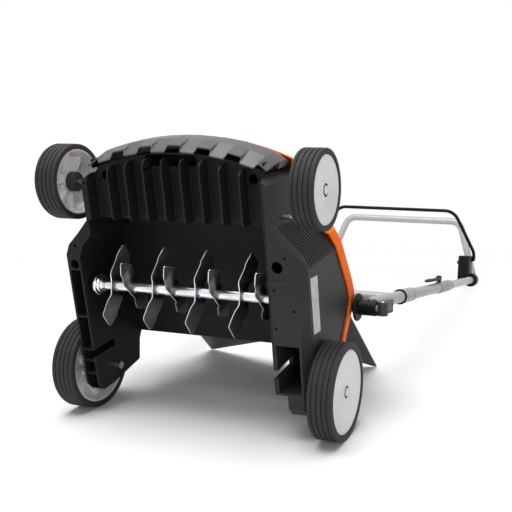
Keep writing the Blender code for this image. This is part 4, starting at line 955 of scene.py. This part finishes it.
class SCARIFIER_OT_levers(bpy.types.Operator):
    """Model the pivots' discs and all four quick-release levers"""

    bl_idname = "scarifier.levers"
    bl_label = "Levers"

    def execute(self, context):
        sizes = chosen("handlebar")
        low = 0.2663
        ring = [(0.0053, 0.0), (0.0053, 0.0125), (0.0180, 0.0125), (0.0186, 0.0119),
                (0.0200, 0.0119), (0.0206, 0.0125), (0.0292, 0.0125), (0.0310, 0.0107),
                (0.0310, 0.0072), (0.0303, 0.0065), (0.0165, 0.0065), (0.0160, 0.0060),
                (0.0160, 0.0)]
        disc = lathe("disc", [(out, low + step) for out, step in ring], closed=True)

        cam, long, thick, wide = 0.012, 0.100, 0.010, 0.015
        arm = [(cam, 0.004), (0.006, 0.013), (thick + 0.001 - cam, 0.021), (thick - cam, 0.030),
               (thick - cam, long - 0.010), (thick - 0.001 - cam, long - 0.001),
               (thick - 0.003 - cam, long), (0.0015 - cam, long), (-cam, long - 0.003),
               (-cam, 0.020)]
        grip = slab("grip", cam_arc(cam, pi, pi) + arm, -wide, wide, "XYZ", 0.0012)
        choose(grip, lambda place, normal: normal.x > 0.9 and place.y > 0.028)
        bpy.ops.mesh.inset(thickness=0.0035, depth=0.0)
        bpy.ops.transform.translate(value=(-0.0010, 0.0, 0.0))
        clear()
        smooth(grip)
        pin = lathe("pin", [(0.0, -wide - 0.0012), (0.0032, -wide - 0.0012),
                            (0.0038, -wide - 0.0006), (0.0038, wide + 0.0006),
                            (0.0032, wide + 0.0012), (0.0, wide + 0.0012)], 24, "Z")
        cradle = lathe("cradle", [(0.0054, -cam - 0.0002), (0.0100, -cam - 0.0002),
                                  (0.0100, 0.0015 - cam), (0.0084, 0.0030 - cam),
                                  (0.0054, 0.0030 - cam)], 32, closed=True)
        for piece in (grip, pin, cradle):
            shift(piece, sizes.leg_spread + sizes.leg_radius + 0.0003 + cam)

        under, top, reach, round_cam = -0.004, 0.003, 0.160, 0.0095
        thin = slab("thin", cam_arc(round_cam, 2.2, -4.6)
                    + [(-0.016, under), (-reach, under), (-reach, top - 0.003),
                       (0.012 - reach, top), (-0.014, top)],
                    sizes.leg_spread - 0.007, sizes.leg_spread + 0.007, "YZX", 0.0009)
        pivot = MACHINE @ Matrix.Translation(in_machine("handle_fold"))
        rise = sizes.leg_lift + sizes.sleeve_radius + 0.0003 + round_cam
        on_clamp = LEG @ Matrix.Translation(Vector((0.0, 0.684 + round_cam, rise)))
        patterns = ((disc, "pivot_disc_", pivot, "black", "chassis"),
                    (grip, "clamp_lever_", LEG, "lever", "clamp_{}"),
                    (pin, "clamp_pin_", LEG, "zinc", "clamp_{}"),
                    (cradle, "clamp_cradle_", LEG, "zinc", "clamp_{}"),
                    (thin, "slide_lever_", on_clamp, "black", "slide_lock_{}"))
        for side, copied in SIDES:
            for pattern, name, place, look, body in patterns:
                made = copied(pattern, name)
                if look == "zinc":
                    finish_piece(made, place, name + side + "_fine", look, body.format(side))
                else:
                    stand_in(made, place, name + side, look, body.format(side))
        for pattern, *_ in patterns:
            bpy.data.objects.remove(pattern)
        return {"FINISHED"}


# ---- Mouldings

MOULDINGS = (  # node, finish, body, edge radius and the angle up to which it is smooth
    ("front_bumper", "bumper", "chassis", 0.0008, 14.0),
    ("hood", "orange", "chassis", 0.0, 24.0),
    ("hood_fascia", "bumper", "chassis", 0.0008, 35.0),
    ("battery_lid", "bumper", "lid", 0.0008, 35.0),
    ("switch_box", "black", "handle_upper", 0.0016, 35.0),
    ("bail_bracket", "black", "handle_upper", 0.0012, 35.0),
    ("depth_lever", "black", "depth_crank", 0.0012, 35.0),
    ("battery", "black", "battery_pack", 0.0012, 35.0),
)


class SCARIFIER_OT_mouldings(bpy.types.Operator):
    """Round the edges of the mouldings and give them their finish"""

    bl_idname = "scarifier.mouldings"
    bl_label = "Mouldings"

    def execute(self, context):
        for node, look, body, width, soft in MOULDINGS:
            stand_in(copy_node(node, width, soft), None, node, look, body)
        return {"FINISHED"}


COVER_FACE = 0.2619  # outer face of the drive cover's side
NOSE_ARC = 0.555  # radius of the nose's arc
POCKET_RIBS = (-0.0565, -0.0160, 0.0245)
SCREW_PLACES = ((0.227, -0.290), (0.201, -0.227), (0.239, -0.187), (0.200, -0.148))
SCREW_DEPTH = -0.0572
WELL_PLACES = ((-0.163, -0.431), (0.160, -0.431))


class SCARIFIER_OT_details(bpy.types.Operator):
    """Model the bare plate, the screws and their cups, and the chassis's small ribs and steps"""

    bl_idname = "scarifier.details"
    bl_label = "Details"

    def execute(self, context):
        def keep(piece, name, look):
            finish_piece(piece, MACHINE, name, look, "chassis")

        corners = [(-0.2445, -0.029), (-0.2406, 0.006), (-0.1239, 0.009), (-0.1280, -0.025)]
        keep(slab("plate", corners, COVER_FACE, 0.2626, "YZX", 0.0002, 1), "bare_plate", "plate")

        head = lathe("head", [(0.0, 0.0005), (0.0012, 0.0005), (0.0013, 0.0012),
                              (0.0022, 0.0012), (0.0028, 0.0006), (0.0028, -0.0008),
                              (0.0, -0.0008)], 20, "Z")
        screws = []
        for x, y in SCREW_PLACES:
            screws.append(twin(head, "screw"))
            bpy.ops.transform.rotate(value=pi, orient_axis="X", center_override=MIDDLE)
            shift(screws[-1], x, y, SCREW_DEPTH)
        bpy.data.objects.remove(head)
        screws = closed_up(joined("screws", screws))
        keep(screws, "cover_screws", "black")

        edge = [(-0.4712, -0.0300), (-0.4708, -0.0460), (-0.4685, -0.0545), (-0.4630, -0.0600),
                (-0.4540, -0.0616), (-0.4505, -0.0616), (-0.4505, -0.0300)]
        ribs = []
        for x in POCKET_RIBS:
            back = NOSE_ARC - (NOSE_ARC ** 2 - x ** 2) ** 0.5
            ribs.append(slab("rib", [(y + back, z) for y, z in edge], x - 0.0013, x + 0.0013,
                             "YZX", 0.0004, 1))
        ribs = joined("ribs", ribs)
        smooth(ribs)
        keep(ribs, "pocket_ribs", "housing")

        cup = lathe("cup", [(0.0, 0.0020), (0.0103, 0.0020), (0.0103, -0.0298),
                            (0.0126, -0.0298), (0.0126, -0.0306), (0.0121, -0.0311),
                            (0.0103, -0.0311), (0.0097, -0.0304), (0.0097, 0.0), (0.0, 0.0)],
                    32, "Z")
        dress(cup, "housing black",
              lambda place, normal: place.x ** 2 + place.y ** 2 < 0.0101 ** 2)
        cups = [twin(cup, "cup") for _ in WELL_PLACES]
        for made, (x, y) in zip(cups, WELL_PLACES):
            shift(made, x, y)
        bpy.data.objects.remove(cup)
        keep(joined("cups", cups), "screw_cups", None)

        # Painted shade: a thin black arc on the cover's side, just outside the rear tyre, where
        # the wheel's dark shade line falls.
        turns = [radians(118.0 + 5.0 * k) for k in range(13)]
        arch = slab("arch", [(0.1125 * cos(a), 0.1125 * sin(a)) for a in turns]
                    + [(0.1005 * cos(a), 0.1005 * sin(a)) for a in reversed(turns)],
                    COVER_FACE, 0.2624, "YZX")
        keep(arch, "painted_arch_shade", "black")

        corners = [(0.1890, -0.2455), (0.2495, -0.2475), (0.2495, -0.2365), (0.1890, -0.2345)]
        keep(slab("band", corners, -0.0634, -0.0618, "XYZ", 0.0005, 1), "cover_step", "side")

        corners = [(-0.4640, -0.040), (-0.4640, 0.046), (-0.4462, 0.046), (-0.4462, -0.040)]
        web = slab("web", corners, 0.1840, 0.1870, "YZX", 0.0004, 1)
        keep(joined("webs", [web, mirrored(web, "web")]), "bumper_webs", "black")
        return {"FINISHED"}


# Finishes of the CAD nodes, for those that stay and for those that a piece stands in for
NODE_LOOKS = {
    "housing": "chassis_housing",
    # The drive cover takes the housing's colour lightened as painted light.
    "side": "drive_cover",
    # The flap takes the bumper's colour lightened as painted light.
    "flap": "discharge_flap",
    "bumper": "front_bumper hood_fascia battery_lid",
    "orange": "hood",
    "black": "battery battery_tray controller pivot_disc_left pivot_disc_right "
             "clamp_lever_left clamp_lever_right slide_lever_left slide_lever_right "
             "switch_box bail_bracket lock_button depth_lever",
    "coat": "bail",
    "belt": "drive_belt",
    "zinc": "rotor_shaft rotor_pulley motor_pulley bearing_left rear_axle_pin_left "
            "rear_axle_pin_right front_axle flap_pin pivot_stud_left pivot_stud_right",
    "bronze": "bearing_right",
    "motor": "motor",
    "tube": "lower_handle upper_handle",
    "sleeve": "leg_sleeve_left leg_sleeve_right slide_clamp_left slide_clamp_right",
    "blade": "blade_a1 blade_a2 blade_a3 blade_a4 blade_b1 blade_b2 blade_b3 blade_b4",
}


class SCARIFIER_OT_finishes(bpy.types.Operator):
    """Give each CAD node listed in NODE_LOOKS its finish"""

    bl_idname = "scarifier.finishes"
    bl_label = "Finishes"

    def execute(self, context):
        make_finishes()
        for look, nodes in NODE_LOOKS.items():
            for name in nodes.split():
                dress(frame["nodes"][name], look)
        return {"FINISHED"}


# ---- Stage

UNDER_MACHINE = (0.0, -0.85, 0.0)  # the middle of the floor's shaded part
FLOOR_TONE = (0.93, 0.93, 0.93)
SOFT_LIGHT = 0.32  # strength of the background as light on the object
CAMERA_PLACE = (0.7969, REAR_AXLE.y - 1.3649, 0.6482)
CAMERA_TURN = (radians(90.0 - 12.6), 0.0, radians(18.4))


def lamp(name, place, target, size, power):
    clear()
    bpy.ops.object.light_add(type="AREA", location=place)
    light = bpy.context.object
    light.name = name
    light.rotation_euler = (Vector(target) - Vector(place)).to_track_quat("-Z", "Y").to_euler()
    light.data.shape = "DISK"
    light.data.size = size
    light.data.energy = power


class SCARIFIER_OT_stage(bpy.types.Operator):
    """Set the floor, the background, the lights and the camera"""

    bl_idname = "scarifier.stage"
    bl_label = "Stage"

    def execute(self, context):
        clear()
        bpy.ops.mesh.primitive_plane_add(size=60.0, location=MIDDLE)
        floor = bpy.context.object
        floor.name = "studio_floor"
        sheet = Sheet("studio_floor")
        away = sheet.node("VectorMath", {"operation": "DISTANCE"}, sheet.place(), UNDER_MACHINE,
                          out=1)
        fade = 0.90 * away.smooth(0.45, 1.25) + 0.10 * away.smooth(1.7, 3.0)
        sheet.set(Base_Color=FLOOR_TONE, Roughness=0.9)
        glow = sheet.node("Emission", None, Color=(1, 1, 1), Strength=1.0)
        mix = sheet.node("MixShader", None, fade * sheet.background_rays(),
                         Socket(sheet, sheet.shader.outputs[0]), glow)
        sheet.feed(sheet.tree.nodes["Material Output"].inputs[0], mix)
        floor.data.materials.append(sheet.owner)

        studio = Sheet("studio", "worlds", "Background")
        level = studio.node("MapRange", None, studio.background_rays(), To_Min=SOFT_LIGHT)
        context.scene.world = studio.set(Color=(1, 1, 1), Strength=level)

        lamp("key", (-0.2, -1.1, 4.0), (0.0, -0.6, 0.0), 3.6, 190.0)
        lamp("front", (1.8, -3.4, 1.2), (0.0, -0.7, 0.3), 1.6, 16.0)

        clear()
        bpy.ops.object.camera_add(location=CAMERA_PLACE, rotation=CAMERA_TURN)
        camera = bpy.context.object
        camera.data.lens = 53.74
        camera.data.sensor_width = 36.0
        camera.data.shift_x = -0.2027
        camera.data.shift_y = 0.0519
        context.scene.camera = camera
        context.scene.view_settings.view_transform = "Standard"
        return {"FINISHED"}


class SCARIFIER_PT_panel(bpy.types.Panel):
    """The scarifier's settings and steps"""

    bl_idname = "SCARIFIER_PT_panel"
    bl_label = "Lawn Scarifier"
    bl_space_type = "VIEW_3D"
    bl_region_type = "UI"
    bl_category = "Scarifier"

    def draw(self, context):
        for name in GROUPS:
            group = getattr(context.scene, name)
            box = self.layout.box()
            for prop in group.bl_rna.properties:
                if prop.identifier not in ("rna_type", "name"):
                    box.prop(group, prop.identifier)
        for step in STEPS:
            self.layout.operator(step.bl_idname)


STEPS = (
    SCARIFIER_OT_finishes,
    SCARIFIER_OT_wheels,
    SCARIFIER_OT_rotor,
    SCARIFIER_OT_lower_handle,
    SCARIFIER_OT_upper_handle,
    SCARIFIER_OT_levers,
    SCARIFIER_OT_mouldings,
    SCARIFIER_OT_details,
    SCARIFIER_OT_stage,
)
GROUPS = {
    "scarifier_wheels": ScarifierWheels,
    "scarifier_rotor": ScarifierRotor,
    "scarifier_handlebar": ScarifierHandlebar,
    "scarifier_colours": ScarifierColours,
}
CLASSES = tuple(GROUPS.values()) + STEPS + (SCARIFIER_PT_panel,)


def register():
    for each in CLASSES:
        bpy.utils.register_class(each)
    for name, group in GROUPS.items():
        setattr(bpy.types.Scene, name, PointerProperty(type=group))


def unregister():
    for name in GROUPS:
        delattr(bpy.types.Scene, name)
    for each in reversed(CLASSES):
        bpy.utils.unregister_class(each)


def main():
    """Builds every piece in order."""
    register()
    for step in STEPS:
        area, action = step.bl_idname.split(".")
        getattr(getattr(bpy.ops, area), action)()


if __name__ == "__main__":
    main()
